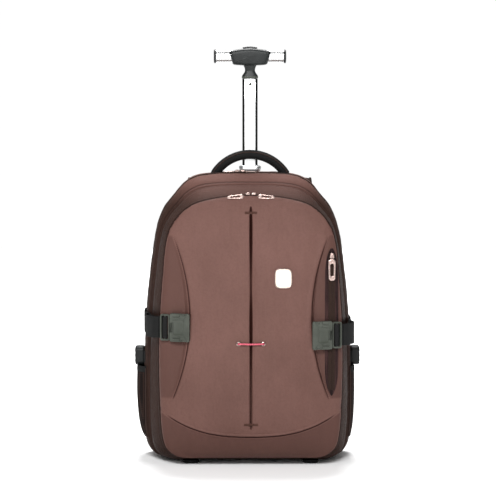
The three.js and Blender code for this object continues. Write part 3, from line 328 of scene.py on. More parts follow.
def cover_dents(x, z):
    """How far the cover stands back from its plain crown: in its side panels, its pleat and its bottom
    panel."""
    across, up, _ = lens_shape(x, z)
    fold = np.clip(across / 0.16, 0, 1) * np.clip(1 - across, 0, 1) ** 0.8
    lens = LENS_DEPTH * fold * np.sin(np.pi * up) ** 0.7
    open_share = ease((PLEAT_TOP - z) / 12) * ease((z - PLEAT_BOTTOM) / 12)
    pinch = 1 - 0.6 * bell(z - PLEAT_PINCH, 26)
    pleat = PLEAT_DEPTH * open_share * pinch * np.clip(1 - np.abs(x) / (PLEAT_WIDTH / 2), 0, 1)
    return lens + pleat + SMILE_STEP * ease((smile_line(x) - z) / 8)


def crown_share(across, up):
    """Share of the crown's depth: full across the middle and low down, easing off to the edge and to the
    top."""
    sideways = (1 - np.minimum(np.abs(across), 1) ** 2.6) ** 0.62
    upwards = (1 - (1 - up) ** 9) ** 0.6 * (1 - up**3.4) ** 0.62
    return sideways * upwards


def cover_depth(across, up):
    """Depth of the cover's face at shares across and up: the crown, less the dents away from the very
    edge."""
    x = across * COVER_HALF * half_width_share("front", up)
    dents = cover_dents(x, lerp(COVER_BOTTOM, COVER_TOP, up)) * ease(6 * (1 - np.abs(across)))
    return FRONT_Y - np.maximum(COVER_CROWN * crown_share(across, up) - dents, 0)


def cover_y(x, z):
    """Depth of the cover's face at a place on it."""
    up = np.clip((z - COVER_BOTTOM) / (COVER_TOP - COVER_BOTTOM), 0, 1)
    half = COVER_HALF * half_width_share("front", up)
    return cover_depth(np.clip(x / np.maximum(half, 1), -1, 1), up)


class Surface:
    """Grids of points in millimetres gathered into one mesh, with a map of real distances and marks for
    the finish."""

    def __init__(self):
        self.points, self.quads, self.maps, self.marks, self.count = [], [], [], [], 0

    def grid(self, points, rows_closed=False, columns_closed=False, marks=None):
        """Quads between neighbouring points; its map holds metres across and along, from the middle
        column."""
        points = np.asarray(points, float)
        rows, columns = points.shape[:2]
        index = np.arange(rows * columns).reshape(rows, columns) + self.count
        full = points
        if columns_closed:
            index, full = np.hstack([index, index[:, :1]]), np.concatenate([full, full[:, :1]], 1)
        if rows_closed:
            index, full = np.vstack([index, index[:1]]), np.concatenate([full, full[:1]], 0)
        across = np.cumsum(np.linalg.norm(np.diff(full, axis=1, prepend=full[:, :1]), axis=2), 1)
        across -= across[:, full.shape[1] // 2][:, None]
        along = np.cumsum(np.linalg.norm(np.diff(full, axis=0, prepend=full[:1]), axis=2).mean(1))
        flat = np.stack([across, np.broadcast_to(along[:, None], across.shape)], -1) * MM
        corners = [np.s_[:-1, :-1], np.s_[:-1, 1:], np.s_[1:, 1:], np.s_[1:, :-1]]
        self.quads.append(np.stack([index[c] for c in corners], -1).reshape(-1, 4))
        self.maps.append(np.stack([flat[c] for c in corners], 2).reshape(-1, 2))
        self.points.append(points.reshape(-1, 3))
        self.marks.append(
            np.zeros(rows * columns) if marks is None else np.broadcast_to(marks, (rows, columns)).ravel()
        )
        self.count += rows * columns
        return self

    def build(self, name, sharp=35, shifted=True):
        """The mesh in metres at its place, with doubles merged, faces outwards and smooth up to an
        angle."""
        place = np.vstack(self.points)
        if shifted:
            place = place + SHIFT
        mesh = bpy.data.meshes.new(name)
        mesh.from_pydata((place * MM).tolist(), [], np.vstack(self.quads).tolist())
        layer = mesh.uv_layers.new(name="cloth")
        layer.data.foreach_set("uv", np.vstack(self.maps).astype(np.float32).ravel())
        mark = mesh.attributes.new("mark", "FLOAT", "POINT")
        mark.data.foreach_set("value", np.concatenate(self.marks).astype(np.float32))
        tidy = bmesh.new()
        tidy.from_mesh(mesh)
        bmesh.ops.remove_doubles(tidy, verts=tidy.verts, dist=1e-6)
        bmesh.ops.dissolve_degenerate(tidy, edges=tidy.edges, dist=1e-7)
        bmesh.ops.recalc_face_normals(tidy, faces=tidy.faces)
        tidy.to_mesh(mesh)
        tidy.free()
        mesh.shade_smooth()
        mesh.set_sharp_from_angle(angle=math.radians(sharp))
        piece = bpy.data.objects.new(name, mesh)
        bpy.context.scene.collection.objects.link(piece)
        return piece


def shell(surface, outer, inner, closed=True, marks=None):
    """Wall between two faces: one grid goes up the outer face and back down the inner one, joined at both
    rims."""
    both = np.concatenate([outer, inner[::-1]], 0)
    if marks is not None:
        marks = np.concatenate([marks, 0 * marks[::-1]], 0)
    surface.grid(both, rows_closed=True, columns_closed=closed, marks=marks)
    if not closed:
        for edge in (0, -1):
            surface.grid(np.stack([outer[:, edge], inner[:, edge]], 1))
    return surface


def frames_along(path, width_direction):
    """Unit direction, side and normal at each point of a path, the side kept close to one direction."""
    tangent = unit(np.gradient(path, axis=0))
    normal = unit(np.cross(tangent, width_direction))
    return tangent, np.cross(normal, tangent), normal


def capped(path, rows):
    """Rows round a path, with a row gathered to a point at each of its ends."""
    sides = rows.shape[1]
    return np.concatenate([np.repeat(path[:1, None], sides, 1), rows, np.repeat(path[-1:, None], sides, 1)])


def sweep(surface, path, width_direction, half_width, half_thickness, sides=16, power=0.5):
    """Rounded-rectangle section carried along a path: cos and sin raised to a power, closed by a point at
    each end."""
    path = np.asarray(path, float)
    count = len(path)
    _, side, normal = frames_along(path, width_direction)
    angle = (np.arange(sides) + 0.5) / sides * 2 * np.pi
    across, up = bent(np.cos(angle), power), bent(np.sin(angle), power)
    wide = np.broadcast_to(half_width, count)[:, None]
    thick = np.broadcast_to(half_thickness, count)[:, None]
    rows = path[:, None] + side[:, None] * (
        across * wide
    )[..., None] + normal[:, None] * (up * thick)[..., None]
    return surface.grid(capped(path, rows), columns_closed=True)


def webbing(surface, path, width_direction, half_width, half_thickness):
    """Flat webbing along a path: a sweep whose section is almost square at its edges."""
    return sweep(surface, path, width_direction, half_width, half_thickness, 20, 0.3)


def revolve(surface, profile, origin, axis, sides=48, ripple=None):
    """Profile of radius and place along an axis, turned about it; ripple adds to the radius by angle and
    row."""
    axis = np.asarray(axis, float)
    first = np.cross(axis, [0, 0, 1]) if abs(axis[2]) < 0.9 else X_WAY
    second = np.cross(axis, first)
    profile = np.asarray(profile, float)
    angle = np.arange(sides) / sides * 2 * np.pi
    radius = profile[:, :1] + (
        0 if ripple is None else ripple(angle[None, :], np.arange(len(profile))[:, None])
    )
    spoke = np.cos(angle)[None, :, None] * first + np.sin(angle)[None, :, None] * second
    points = np.asarray(origin, float) + radius[..., None] * spoke + profile[:, 1, None, None] * axis
    return surface.grid(points, columns_closed=True)


def rounded_loop(width, height, radius, count=64):
    """Even steps round a rectangle with arcs for corners."""
    x, y = width / 2 - radius, height / 2 - radius
    turn = np.linspace(0, np.pi / 2, 12)
    arcs = [
        np.stack([cx + radius * np.cos(turn + start), cy + radius * np.sin(turn + start)], 1)
        for cx, cy, start in [(x, y, 0), (-x, y, np.pi / 2), (-x, -y, np.pi), (x, -y, 1.5 * np.pi)]
    ]
    loop = np.vstack(arcs + [arcs[0][:1]])
    return even_steps(loop, count, closed=True)


def inset(loop, amount):
    """A loop moved inwards along its normals."""
    tangent = unit(np.roll(loop, -1, 0) - np.roll(loop, 1, 0))
    return loop - np.stack([tangent[:, 1], -tangent[:, 0]], 1) * amount


def plate(surface, loop, thickness, edge, place, dome=0.0, dish=0.0):
    """Solid plate of a flat loop: rings go in over a rounded edge to the middle of each face, which may
    be domed by dome or hollowed by dish behind a narrow rim. place turns (across, up, out) into a
    point."""
    half = thickness / 2
    turn = np.linspace(0, np.pi / 2, 5)
    edges = [(edge * (1 - math.cos(t)), half - edge * (1 - math.sin(t))) for t in turn]
    front = edges + [(edge + 0.6, half), (edge + 1.4, half - dish)]
    back = [(amount, -height) for amount, height in edges[::-1]]
    middle = loop.mean(0)
    rings = [np.column_stack([np.repeat(middle[None], len(loop), 0), np.full(len(loop), -half)])]
    for amount, height in back + front:
        rings.append(np.column_stack([inset(loop, amount), np.full(len(loop), height)]))
    last = inset(loop, edge + 1.4)
    for share in (0.75, 0.5, 0.25, 0.0):
        height = half - dish + dome * (1 - share**2)
        rings.append(np.column_stack([lerp(middle, last, share), np.full(len(loop), height)]))
    return surface.grid(place(np.stack(rings)), columns_closed=True)


def ring_plate(surface, outer, inner, thickness, place, power=0.6, sides=16):
    """Plate with a hole: a rounded section between the outer and inner loop, carried round both."""
    angle = np.arange(sides) / sides * 2 * np.pi
    share = 0.5 - 0.5 * bent(np.cos(angle), power)
    height = bent(np.sin(angle), power) * thickness / 2
    flat = lerp(outer[:, None], inner[:, None], share[None, :, None])
    points = np.concatenate([flat, np.broadcast_to(height[None, :, None], (*flat.shape[:2], 1))], 2)
    return surface.grid(place(points), rows_closed=True, columns_closed=True)


def placer(origin, across, up, out):
    """Turns points of (across, up, out) into places, from an origin and three directions."""
    axes = unit(np.array([across, up, out], float))
    return lambda points: np.asarray(points) @ axes + np.asarray(origin, float)


def noise_waves(u, v, scale, seed):
    """Soft unevenness: a sum of sine waves in seeded directions, each shorter and lower than the last."""
    draw = np.random.default_rng(seed)
    total = 0
    for octave in range(4):
        turn, phase_u, phase_v = draw.uniform(0, 2 * np.pi, 3)
        length = scale / 1.7**octave
        along = (u * np.cos(turn) + v * np.sin(turn)) / length * 2 * np.pi
        beside = (v * np.cos(turn) - u * np.sin(turn)) / length * 2 * np.pi
        total = total + np.sin(along + phase_u + 1.3 * np.sin(beside * 0.7 + phase_v)) / 1.6**octave
    return total / 2


def shown(piece, body, finish, slot_name, *nodes):
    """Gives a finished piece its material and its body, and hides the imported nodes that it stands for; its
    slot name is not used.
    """
    piece.data.materials.clear()
    piece.data.materials.append(finish)
    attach(piece, body)
    if nodes:
        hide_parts(*nodes)
    return piece


# Finishes: procedural materials


def colour(code):
    """Linear colour of a six-digit hex code, from the display curve's power of 2.4."""
    parts = [int(code[i : i + 2], 16) / 255 for i in (0, 2, 4)]
    return (*[p / 12.92 if p <= 0.04045 else ((p + 0.055) / 1.055) ** 2.4 for p in parts], 1)


class Value:
    """A socket's number over a surface. Arithmetic on it adds Math nodes, so 1 - mask is written as it
    reads."""

    def __init__(self, finish, socket):
        self.finish, self.socket = finish, socket

    def math(self, operation, *others, first=None):
        terms = [self, *others] if first is None else [first, self]
        return self.finish.node("ShaderNodeMath", {"operation": operation}, terms)

    def __add__(self, other):
        return self.math("ADD", other)

    def __sub__(self, other):
        return self.math("SUBTRACT", other)

    def __mul__(self, other):
        return self.math("MULTIPLY", other)

    def __truediv__(self, other):
        return self.math("DIVIDE", other)

    def __rsub__(self, other):
        return self.math("SUBTRACT", first=other)

    __radd__, __rmul__ = __add__, __mul__

    def sine(self):
        return self.math("SINE")

    def size(self):
        return self.math("ABSOLUTE")

    def step(self, low, high):
        """Smooth change from 0 to 1 as the value goes from low to high."""
        settings = {"interpolation_type": "SMOOTHSTEP"}
        return self.finish.node(
            "ShaderNodeMapRange", settings, {"Value": self, "From Min": low, "From Max": high}
        )


class Finish:
    """A material. node() adds any node: its settings first, then the values or links of its sockets."""

    def __init__(self, name, **constants):
        self.material = bpy.data.materials.new(name)
        self.material.use_nodes = True
        self.tree = self.material.node_tree
        self.tree.nodes.clear()
        self.shader = self.tree.nodes.new("ShaderNodeBsdfPrincipled")
        output = self.tree.nodes.new("ShaderNodeOutputMaterial")
        self.tree.links.new(self.shader.outputs[0], output.inputs[0])
        for key, value in constants.items():
            self.shader.inputs[key.replace("_", " ")].default_value = value

    def node(self, kind, settings=None, inputs=(), output=0):
        made = self.tree.nodes.new(kind)
        for key, value in (settings or {}).items():
            setattr(made, key, value)
        for key, value in inputs.items() if isinstance(inputs, dict) else enumerate(inputs):
            if isinstance(value, Value):
                self.tree.links.new(value.socket, made.inputs[key])
            else:
                made.inputs[key].default_value = value
        return Value(self, made.outputs[output])

    def place(self):
        """The point's place on the piece, as a vector."""
        return self.node("ShaderNodeTexCoord", output="Object")

    def parts(self, vector):
        """The three numbers of a vector."""
        split = self.node("ShaderNodeSeparateXYZ", inputs=[vector])
        return [Value(self, split.socket.node.outputs[i]) for i in range(3)]

    def along(self):
        """Metres across and along the cloth, from the piece's own map."""
        return self.parts(self.node("ShaderNodeUVMap", {"uv_map": "cloth"}))[:2]

    def mark(self):
        """How dark the piece's own marks are: seams above nought; below it, painted shade over recessed
        panels and a darker bottom panel.
        """
        return self.node("ShaderNodeAttribute", {"attribute_name": "mark"}, output="Fac")

    def noise(self, scale, detail=3, rough=0.55, stretch=None):
        """Soft noise over the piece's place, stretched along an axis where stretch gives its factors."""
        vector = self.place()
        if stretch is not None:
            vector = self.node("ShaderNodeMapping", inputs={"Vector": vector, "Scale": stretch})
        inputs = {"Vector": vector, "Scale": scale, "Detail": detail, "Roughness": rough}
        return self.node("ShaderNodeTexNoise", inputs=inputs)

    def mix(self, share, a, b):
        """Colour between a and b by a share."""
        return self.node("ShaderNodeMix", {"data_type": "RGBA"}, {0: share, 6: a, 7: b}, output=2)

    def paint(self, **links):
        """Feeds values into the shader's sockets, by their names."""
        for key, value in links.items():
            self.tree.links.new(value.socket, self.shader.inputs[key.replace("_", " ")])

    def bump(self, height, distance, strength, over=None):
        """Relief of a height, laid over another relief where over gives it."""
        inputs = {"Height": height, "Distance": distance, "Strength": strength}
        if over is not None:
            inputs["Normal"] = over
        return self.node("ShaderNodeBump", inputs=inputs)


SATIN_THREAD = 0.0011


def satin_cloth(name, lit, deep, seam, gloss=0.08, crown=None):
    """Satin nylon: fine over-and-under threads, slow changes of shade, and dark seams; marks below nought
    add painted shade over recessed panels and darken the bottom panel. crown is the colour of the cloth over
    the top of the bag, lighter than below it: painted light from above."""
    f = Finish(name, Roughness=0.5, Sheen_Weight=0.005, Sheen_Roughness=0.35, Specular_IOR_Level=gloss)
    u, v = f.along()
    over = (u * (2 * math.pi / SATIN_THREAD)).sine() * (v * (2 * math.pi / SATIN_THREAD)).sine()
    cloud = f.noise(9, 3)
    fine = f.noise(260, 2, 0.6)
    base = f.mix(cloud.step(0.2, 0.8), colour(deep), colour(lit))
    # Painted light: the cloth over the top of the bag takes a lighter colour, as if lit from above.
    if crown:
        _, _, height = f.parts(f.place())
        base = f.mix((height + cloud * 0.01).step(0.445, 0.505), base, colour(crown))
    base = f.mix((fine.step(0.35, 0.75)) * 0.1, base, colour(seam))
    base = f.mix((over * 0.5 + 0.5) * 0.12, base, colour(seam))
    mark = f.mark()
    # Marks below nought: painted shade over the recessed side panels, and the darker bottom panel.
    base = f.mix((mark * -1).step(0.2, 0.8) * 0.62, base, colour(deep))
    base = f.mix((mark * -1).step(0.2, 0.8) * 0.35, base, colour(seam))
    base = f.mix(mark.step(0.05, 0.9), base, colour(seam))
    rough = cloud * 0.14 + fine * 0.1 + 0.38
    threads = f.bump(over + fine * 0.8, 0.00012, 0.6)
    f.paint(Base_Color=base, Roughness=rough, Normal=f.bump(f.noise(34, 2), 0.0006, 0.35, over=threads))
    return f.material


def ribbed_cloth(name, lit, deep, pitch, relief=0.0003, rough=0.8, sheen=0.01):
    """Webbing, zipper tape or binding: ribs across its length, twisted threads in each rib, and worn pale
    ridges."""
    f = Finish(name, Roughness=rough, Sheen_Weight=sheen, Sheen_Roughness=0.5, Specular_IOR_Level=0.05)
    u, v = f.along()
    rib = (v * (2 * math.pi / pitch)).sine()
    thread = ((u + v * 0.5) * (2 * math.pi / (pitch * 0.6))).sine()
    height = rib * 0.7 + thread * 0.3
    cloud = f.noise(40, 3)
    base = f.mix(height.step(-0.9, 0.9) * 0.6 + cloud * 0.3, colour(deep), colour(lit))
    f.paint(Base_Color=base, Roughness=cloud * 0.15 + (rough - 0.08), Normal=f.bump(height, relief, 0.7))
    return f.material


def knitted_mesh(name, lit, deep, pitch=0.0026):
    """Air mesh: rows of small dark holes in a soft knit, the rows shifted by half a hole, over slow
    changes of shade."""
    f = Finish(name, Roughness=0.85, Sheen_Weight=0.01, Sheen_Roughness=0.5, Specular_IOR_Level=0.03)
    x, y, z = f.parts(f.place())
    across = (x + y) * (2 * math.pi / pitch)
    up = z * (2 * math.pi / (pitch * 1.5))
    holes = (across + up.sine() * 1.1).sine() * up.sine()
    cloud = f.noise(30, 3)
    base = f.mix(holes.step(-0.2, 0.7), colour(deep), colour(lit))
    base = f.mix(cloud * 0.35, base, colour(deep))
    f.paint(Base_Color=base, Roughness=cloud * 0.1 + 0.8, Normal=f.bump(holes, 0.0004, 0.6))
    return f.material


def moulded_plastic(name, lit, deep, rough=0.42, grain=900):
    """Injection-moulded plastic: fine spark-eroded grain, slow gloss changes, and paler rubbed ridges."""
    f = Finish(name, Roughness=rough, Specular_IOR_Level=0.16)
    cloud, fine = f.noise(28, 3), f.noise(grain, 2, 0.7)
    worn = f.node("ShaderNodeNewGeometry", output="Pointiness").step(0.56, 0.68)
    base = f.mix(cloud.step(0.3, 0.7), colour(deep), colour(lit))
    base = f.mix(worn * 0.25, base, colour("6a6a66"))
    scratch = f.noise(60, 2, 0.6, stretch=(1, 1, 9)).step(0.62, 0.7)
    f.paint(
        Base_Color=base,
        Roughness=cloud * 0.16 + fine * 0.12 + scratch * 0.12 + (rough - 0.14),
        Normal=f.bump(fine, 0.00008, 0.6),
    )
    return f.material


def brushed_metal(name, lit, deep, rough=0.28, stretch=(40, 40, 1), metallic=1.0, painted_dark_sides=None):
    """Drawn and brushed metal: long fine lines, faint cloudiness, and, where the last argument gives
    their place, sides painted darker as a dark reflection."""
    f = Finish(name, Roughness=rough, Metallic=metallic)
    line = f.noise(26, 3, 0.7, stretch=stretch)
    cloud = f.noise(18, 3)
    base = f.mix(line.step(0.3, 0.75), colour(deep), colour(lit))
    # Painted reflection: the tube's sides are darkened as if they mirrored dark surroundings.
    if painted_dark_sides is not None:
        x, _, _ = f.parts(f.place())
        base = f.mix((x - SHIFT[0] * MM).size().step(*painted_dark_sides), base, colour("1c1d1d"))
    f.paint(
        Base_Color=base, Roughness=cloud * 0.12 + line * 0.1 + (rough - 0.1),
        Normal=f.bump(line, 0.00003, 0.4)
    )
    return f.material


def streaked_cloth(name, lit, deep):
    """Gathered tape beside a zipper: long upright streaks of shade over a fine weave."""
    f = Finish(name, Roughness=0.6, Sheen_Weight=0.01, Sheen_Roughness=0.4, Specular_IOR_Level=0.05)
    x, _, z = f.parts(f.place())
    streak = f.noise(150, 3, 0.6, stretch=(1, 1, 0.06))
    weave = ((x + z) * (2 * math.pi / 0.0012)).sine() * ((x - z) * (2 * math.pi / 0.0012)).sine()
    base = f.mix(streak.step(0.35, 0.65), colour(deep), colour(lit))
    base = f.mix((weave * 0.5 + 0.5) * 0.15, base, colour("1c1011"))
    f.paint(
        Base_Color=base, Roughness=streak * 0.2 + 0.48,
        Normal=f.bump(streak + weave * 0.3, 0.0006, 0.6)
    )
    return f.material


def smooth_enamel(name, lit, deep):
    """Poured enamel: almost even colour with faint cloudiness, very fine ripple, and a clear glossy
    coat."""
    f = Finish(name, Roughness=0.22, Coat_Weight=0.6, Coat_Roughness=0.08)
    cloud, ripple = f.noise(70, 3), f.noise(320, 2)
    base = f.mix(cloud.step(0.3, 0.7), colour(deep), colour(lit))
    f.paint(Base_Color=base, Roughness=ripple * 0.1 + 0.18, Normal=f.bump(ripple, 0.00004, 0.5))
    return f.material


CLOTH_FINISH = satin_cloth("bag cloth", "60453f", "563d37", "24100c")
# Painted shade: the sides are the front's cloth in a darker copy, with the front's colour over the top as
# painted light.
SHADED_SIDE_CLOTH = satin_cloth("shaded side cloth", "33241f", "2c1f1b", "120908", 0.02, "60453f")
ZIP_TAPE = ribbed_cloth("zipper tape", "33251f", "1c1412", 0.0012, 0.0002, 0.6)
POCKET_MESH = knitted_mesh("pocket mesh", "332622", "150f0e")
BACK_MESH = knitted_mesh("back mesh", "4b3d39", "2a211f", 0.003)
WEBBING = ribbed_cloth("black webbing", "242424", "0e0e0e", 0.0021)
BINDING = ribbed_cloth("strap binding", "3d302c", "231a18", 0.0014)
BLACK_PLASTIC = moulded_plastic("black plastic", "171818", "0e0f0f")
GREY_PLASTIC = moulded_plastic("grey plastic", "40433d", "32352f", 0.36)
# Painted reflection: the tube's sides are painted dark.
SILVER_TUBE = brushed_metal("silver tube", "dfe0e0", "c9caca", 0.3, (60, 60, 1), 0.85, (0.0088, 0.0098))
SILVER_BAR = brushed_metal("silver bar", "dedfdf", "c2c3c3", 0.26, (1, 60, 60), 0.9)
STREAKED_CLOTH = streaked_cloth("pocket zipper binding", "352423", "180f10")
ENAMEL = smooth_enamel("cream enamel", "dcd3c4", "d0c6b6")
HANDLE_CLOTH = ribbed_cloth("handle cloth", "1a1a1a", "0b0b0b", 0.0013, 0.00015, 0.62, 0.02)
HANDLE_PLASTIC = moulded_plastic("handle plastic", "1e2121", "131515", 0.4)
RED_ELASTIC = ribbed_cloth("red elastic", "d9707f", "8c2b3e", 0.0016, 0.0002, 0.55)
TACK_THREAD = ribbed_cloth("bar tack thread", "5b4038", "2f1e1a", 0.0012, 0.0002, 0.6)
STEEL = brushed_metal("axle steel", "c9cac9", "8f9190", 0.3, (1, 30, 30))
ROSE_SILVER = brushed_metal("rose silver", "b9a49d", "7c6b66", 0.32, (20, 20, 20))
RUBBER = moulded_plastic("tyre rubber", "242424", "171717", 0.7, 500)


# Body of the bag


def spaced(density, count):
    """Shares from -1 to 1 set closer together where a density function is high."""
    fine = np.linspace(-1, 1, 4001)
    total = np.cumsum(density(fine))
    return np.interp(np.linspace(total[0], total[-1], count), total, fine)


def cover_detail(x, z, across):
    """Relief on the cover: seam grooves with a roll beside them, a piped bottom seam, puckers that die
    away from each seam, and slow folds. Returns how far the cloth stands back, and how dark the seam
    shows, with painted shade down the inside of the pleat; below nought it gives painted shade over the
    recessed side panels and a darker bottom panel."""
    share, up, inner = lens_shape(x, z)
    beside = np.abs(x) - inner
    held = ease(up / 0.03) * ease((1 - up) / 0.03)
    seam = bell(beside, 1.4) * held
    roll = bell(beside + 4.5, 3.2) * held
    above = z - smile_line(x)
    piping = bell(above, 1.5)
    groove = 0.4 * bell(above - 3, 1.2) + bell(above + 2.6, 1.1)
    pleat_edge = bell(
        np.abs(x) - PLEAT_WIDTH / 2 - 1.2, 1.6
    ) * ease((PLEAT_TOP - z) / 12) * ease((z - PLEAT_BOTTOM) / 12)
    inside = ease(6 * (1 - np.abs(across)))
    pucker = np.sin(z / 15 * 2 * np.pi + np.sin(z / 41)) * np.exp(-np.abs(beside) / 9) * held * 0.3
    pucker += np.sin(x / 17 * 2 * np.pi + np.sin(x / 37)) * np.exp(-np.abs(above) / 11) * 0.35
    folds = noise_waves(x * 1.5, z * 0.55, 85, 11) * 0.7 + noise_waves(x, z, 34, 12) * 0.18
    drape = np.sin(x / 46 * 2 * np.pi + 0.6) * bell(z - 120, 60) * 0.5
    back = 1.5 * seam - 0.9 * roll - 1.0 * piping + 0.9 * groove - 0.7 * pleat_edge
    mark = np.maximum(seam * 0.9, bell(above + 2.6, 1.5) * 1.1)
    # Painted shade down the inside of the pleat, widest where it gapes.
    gape = 0.34 + 0.7 * np.maximum(bell(z - 400, 52), bell(z - 243, 66))
    pleat = np.clip(
        1 - np.abs(x) / (gape * PLEAT_WIDTH / 2), 0, 1
    ) * ease((PLEAT_TOP - z) / 6) * ease((z - PLEAT_BOTTOM) / 6)
    rim = bell(1 - np.abs(across), 0.008) * 0.8
    mark = np.maximum(np.maximum(mark, np.clip(pleat * 2.4, 0, 1)) * inside, rim)
    # Painted shade: the recessed side panels are darkened as if shaded by their dent, more on the right than
    # on the left; below the smile seam the bottom panel is darker.
    shade = np.where(
        above < -4, ease((-above - 3) / 4), np.where(x > 0, 0.95, 0.75) * ease(share / 0.1) * held
    )
    return (back + pucker + folds + drape) * inside, np.where((shade > 0) & (mark < 0.2), -shade, mark)


def front_cover():
    """Front cover: the crown function of its shares across and up, with its relief, and a lining one
    cloth inside."""
    across = spaced(lambda a: 1 + 9 * bell(a, 0.022) + 1.4 * bell(np.abs(a) - 0.72, 0.12), 232)[None, :]
    up = (spaced(lambda a: 1 + 1.5 * bell(a + 0.8, 0.12) + 1.5 * bell(a - 1, 0.1), 186)[:, None] + 1) / 2
    faces, marks = [], None
    for into in (0.0, CLOTH):
        half = COVER_HALF - into
        x = across * half * half_width_share("front", up)
        z = lerp(COVER_BOTTOM + into, COVER_TOP - into, up) + 0 * across
        nominal = across * COVER_HALF * half_width_share("front", up)
        back, mark = cover_detail(nominal, z, across)
        y = np.minimum(cover_depth(across, up) + back + into * 0.999, FRONT_Y)
        marks = mark if marks is None else marks
        faces.append(np.stack([x, y, z], -1))
    piece = shell(Surface(), *faces, closed=False, marks=marks).build("front_cover_cloth", sharp=50)
    return shown(piece, "bag", CLOTH_FINISH, "cloth", "front_cover")


def ring_rows(rings, crisp, count):
    """Rows of a body shell: the first ones as they are, for the zipper's channel, the rest on a smooth
    curve."""
    rings = np.array(rings)
    head = [lerp(rings[i], rings[i + 1], t) for i in range(crisp) for t in (0, 0.5)]
    return np.vstack(
        [head, smooth_curve(rings[crisp:], count)]
    ) if len(rings) - crisp > 1 else np.vstack([head, rings[crisp:]])


def wall_normal(points):
    """Outward direction of each point of the rings, square to the ring in its own plane."""
    tangent = unit(np.roll(points, -1, 1) - np.roll(points, 1, 1))
    return np.stack([tangent[..., 2], 0 * tangent[..., 0], -tangent[..., 0]], -1)


def gusset(name, rows, seams, puff, panel=None, seed=1):
    """Closed hoop of cloth through the rows: piping stands up at each seam, the cloth puffs between seams
    by a sine, and folds run from seam to seam, deeper low down and round the corners. panel closes it at
    a depth."""
    outer, inner = ring_points(rows), ring_points(rows, -CLOTH)
    depth = outer[..., 1]
    around = np.linspace(0, 2 * np.pi, ROUND, endpoint=False)[None, :]
    lift, mark = 0 * depth, 0 * depth
    for seam in seams:
        lift += 1.3 * bell(depth - seam, 1.4) - 0.6 * (
            bell(depth - seam - 3, 1.2) + bell(depth - seam + 3, 1.2)
        )
        mark = np.maximum(
            mark, 0.6 * np.clip(bell(depth - seam - 3, 1.2) + bell(depth - seam + 3, 1.2), 0, 1)
        )
    span = sorted([depth.min(), *seams, depth.max()])
    between = np.interp(depth, span, np.arange(len(span))) % 1
    lift += puff * np.sin(np.pi * between)
    length = around * 230
    folds = noise_waves(
        depth * 0.5, length, 55, seed
    ) * 0.6 + noise_waves(depth, length, 22, seed + 5) * 0.2
    near = sum(np.exp(-np.abs(depth - seam) / 8) for seam in seams)
    lift += folds * np.sin(np.pi * between) + 0.25 * near * np.sin(
        length / 13 * 2 * np.pi + np.sin(length / 31)
    )
    outer = outer + wall_normal(outer) * lift[..., None]
    if panel is not None:
        far, wall = panel
        middle = outer[-1].mean(0)
        shares = np.array([0.985, 0.96, 0.9, 0.8, 0.68, 0.55, 0.42, 0.28, 0.14, 0.0])[:, None, None]
        crown = 0 * shares if wall == 0 else 2.0 * (1 - shares**2)
        face = lerp(middle, outer[-1][None], shares)
        face[..., 1] = far + crown[..., 0]
        behind = lerp(middle, inner[-1][None], shares)
        behind[..., 1] = far - CLOTH + crown[..., 0]
        lip = inner[-1:].copy()
        lip[..., 1] = far - CLOTH
        outer = np.concatenate([outer, face])
        inner = np.concatenate([inner[:-1], lip, behind])
        mark = np.concatenate([mark, np.zeros((len(face), ROUND))])
    return shell(Surface(), outer, inner, marks=mark).build(name, sharp=50)


def cut_block(piece, low, high):
    """Takes a straight block out of a piece, given its corners in source millimetres."""
    box = Surface()
    x, z = [low[0], high[0], high[0], low[0]], [low[2], low[2], high[2], high[2]]
    loop = np.array([[x[i], 0, z[i]] for i in range(4)], float)
    rows = [loop.mean(0) * np.ones((4, 1)), loop, loop, loop.mean(0) * np.ones((4, 1))]
    places = [low[1], low[1], high[1], high[1]]
    box.grid(np.stack([row + [0, y, 0] for row, y in zip(rows, places)]), columns_closed=True)
    cutter = box.build("cutter")
    change = piece.modifiers.new("cut", "BOOLEAN")
    change.object, change.operation, change.solver = cutter, "DIFFERENCE", "EXACT"
    apply_changes(piece)
    bpy.data.objects.remove(cutter)


def apply_changes(piece):
    """Makes a piece's modifiers part of its mesh."""
    view = bpy.context.evaluated_depsgraph_get()
    done = bpy.data.meshes.new_from_object(
        piece.evaluated_get(view), preserve_all_data_layers=True, depsgraph=view
    )
    piece.modifiers.clear()
    piece.data = done


def body_shells():
    """The three hoops of the body, between the front cover and the back panel."""
    front = gusset(
        "front_tray_cloth", ring_rows(FRONT_RINGS, 2, 26), [-71, PARTITION_Y - 2], 1.2,
        (PARTITION_Y, 0), 3
    )
    shown(front, "bag", SHADED_SIDE_CLOTH, "cloth", "front_tray")
    head = np.array(MIDDLE_RINGS)
    rows = np.vstack([smooth_curve(head[:3], 22), smooth_curve(head[3:], 4)])
    middle = gusset("main_cover_cloth", rows, [PARTITION_Y + 3, 10], 1.0, None, 4)
    shown(middle, "bag", SHADED_SIDE_CLOTH, "cloth", "main_cover")
    rear = gusset("main_tray_cloth", ring_rows(REAR_RINGS, 2, 34), [28], 1.5, (BACK_Y, 1), 5)
    low, high = source_box("base")
    cut_block(rear, (low[0] - 0.3, low[1] - 0.3, -20), (high[0] + 0.3, high[1] + 60, high[2] + 0.3))
    shown(rear, "bag", SHADED_SIDE_CLOTH, "cloth", "main_tray")


front_cover()
body_shells()


# Zippers, sliders and pulls

# Places across a zipper's half tape, closer together over its teeth, and sizes of tape and teeth
HALF_TAPE = np.array([0.05, 0.12, 0.2, 0.28, 0.34, 0.38, 0.45, 0.7, 0.97, 1])
TAPE_SHARES = np.concatenate([-HALF_TAPE[::-1], [0], HALF_TAPE])
TAPE_SINK, TAPE_WALL = 0.3, 1.2
TOOTH_HEIGHT, TOOTH_PITCH = 1.0, 2.2


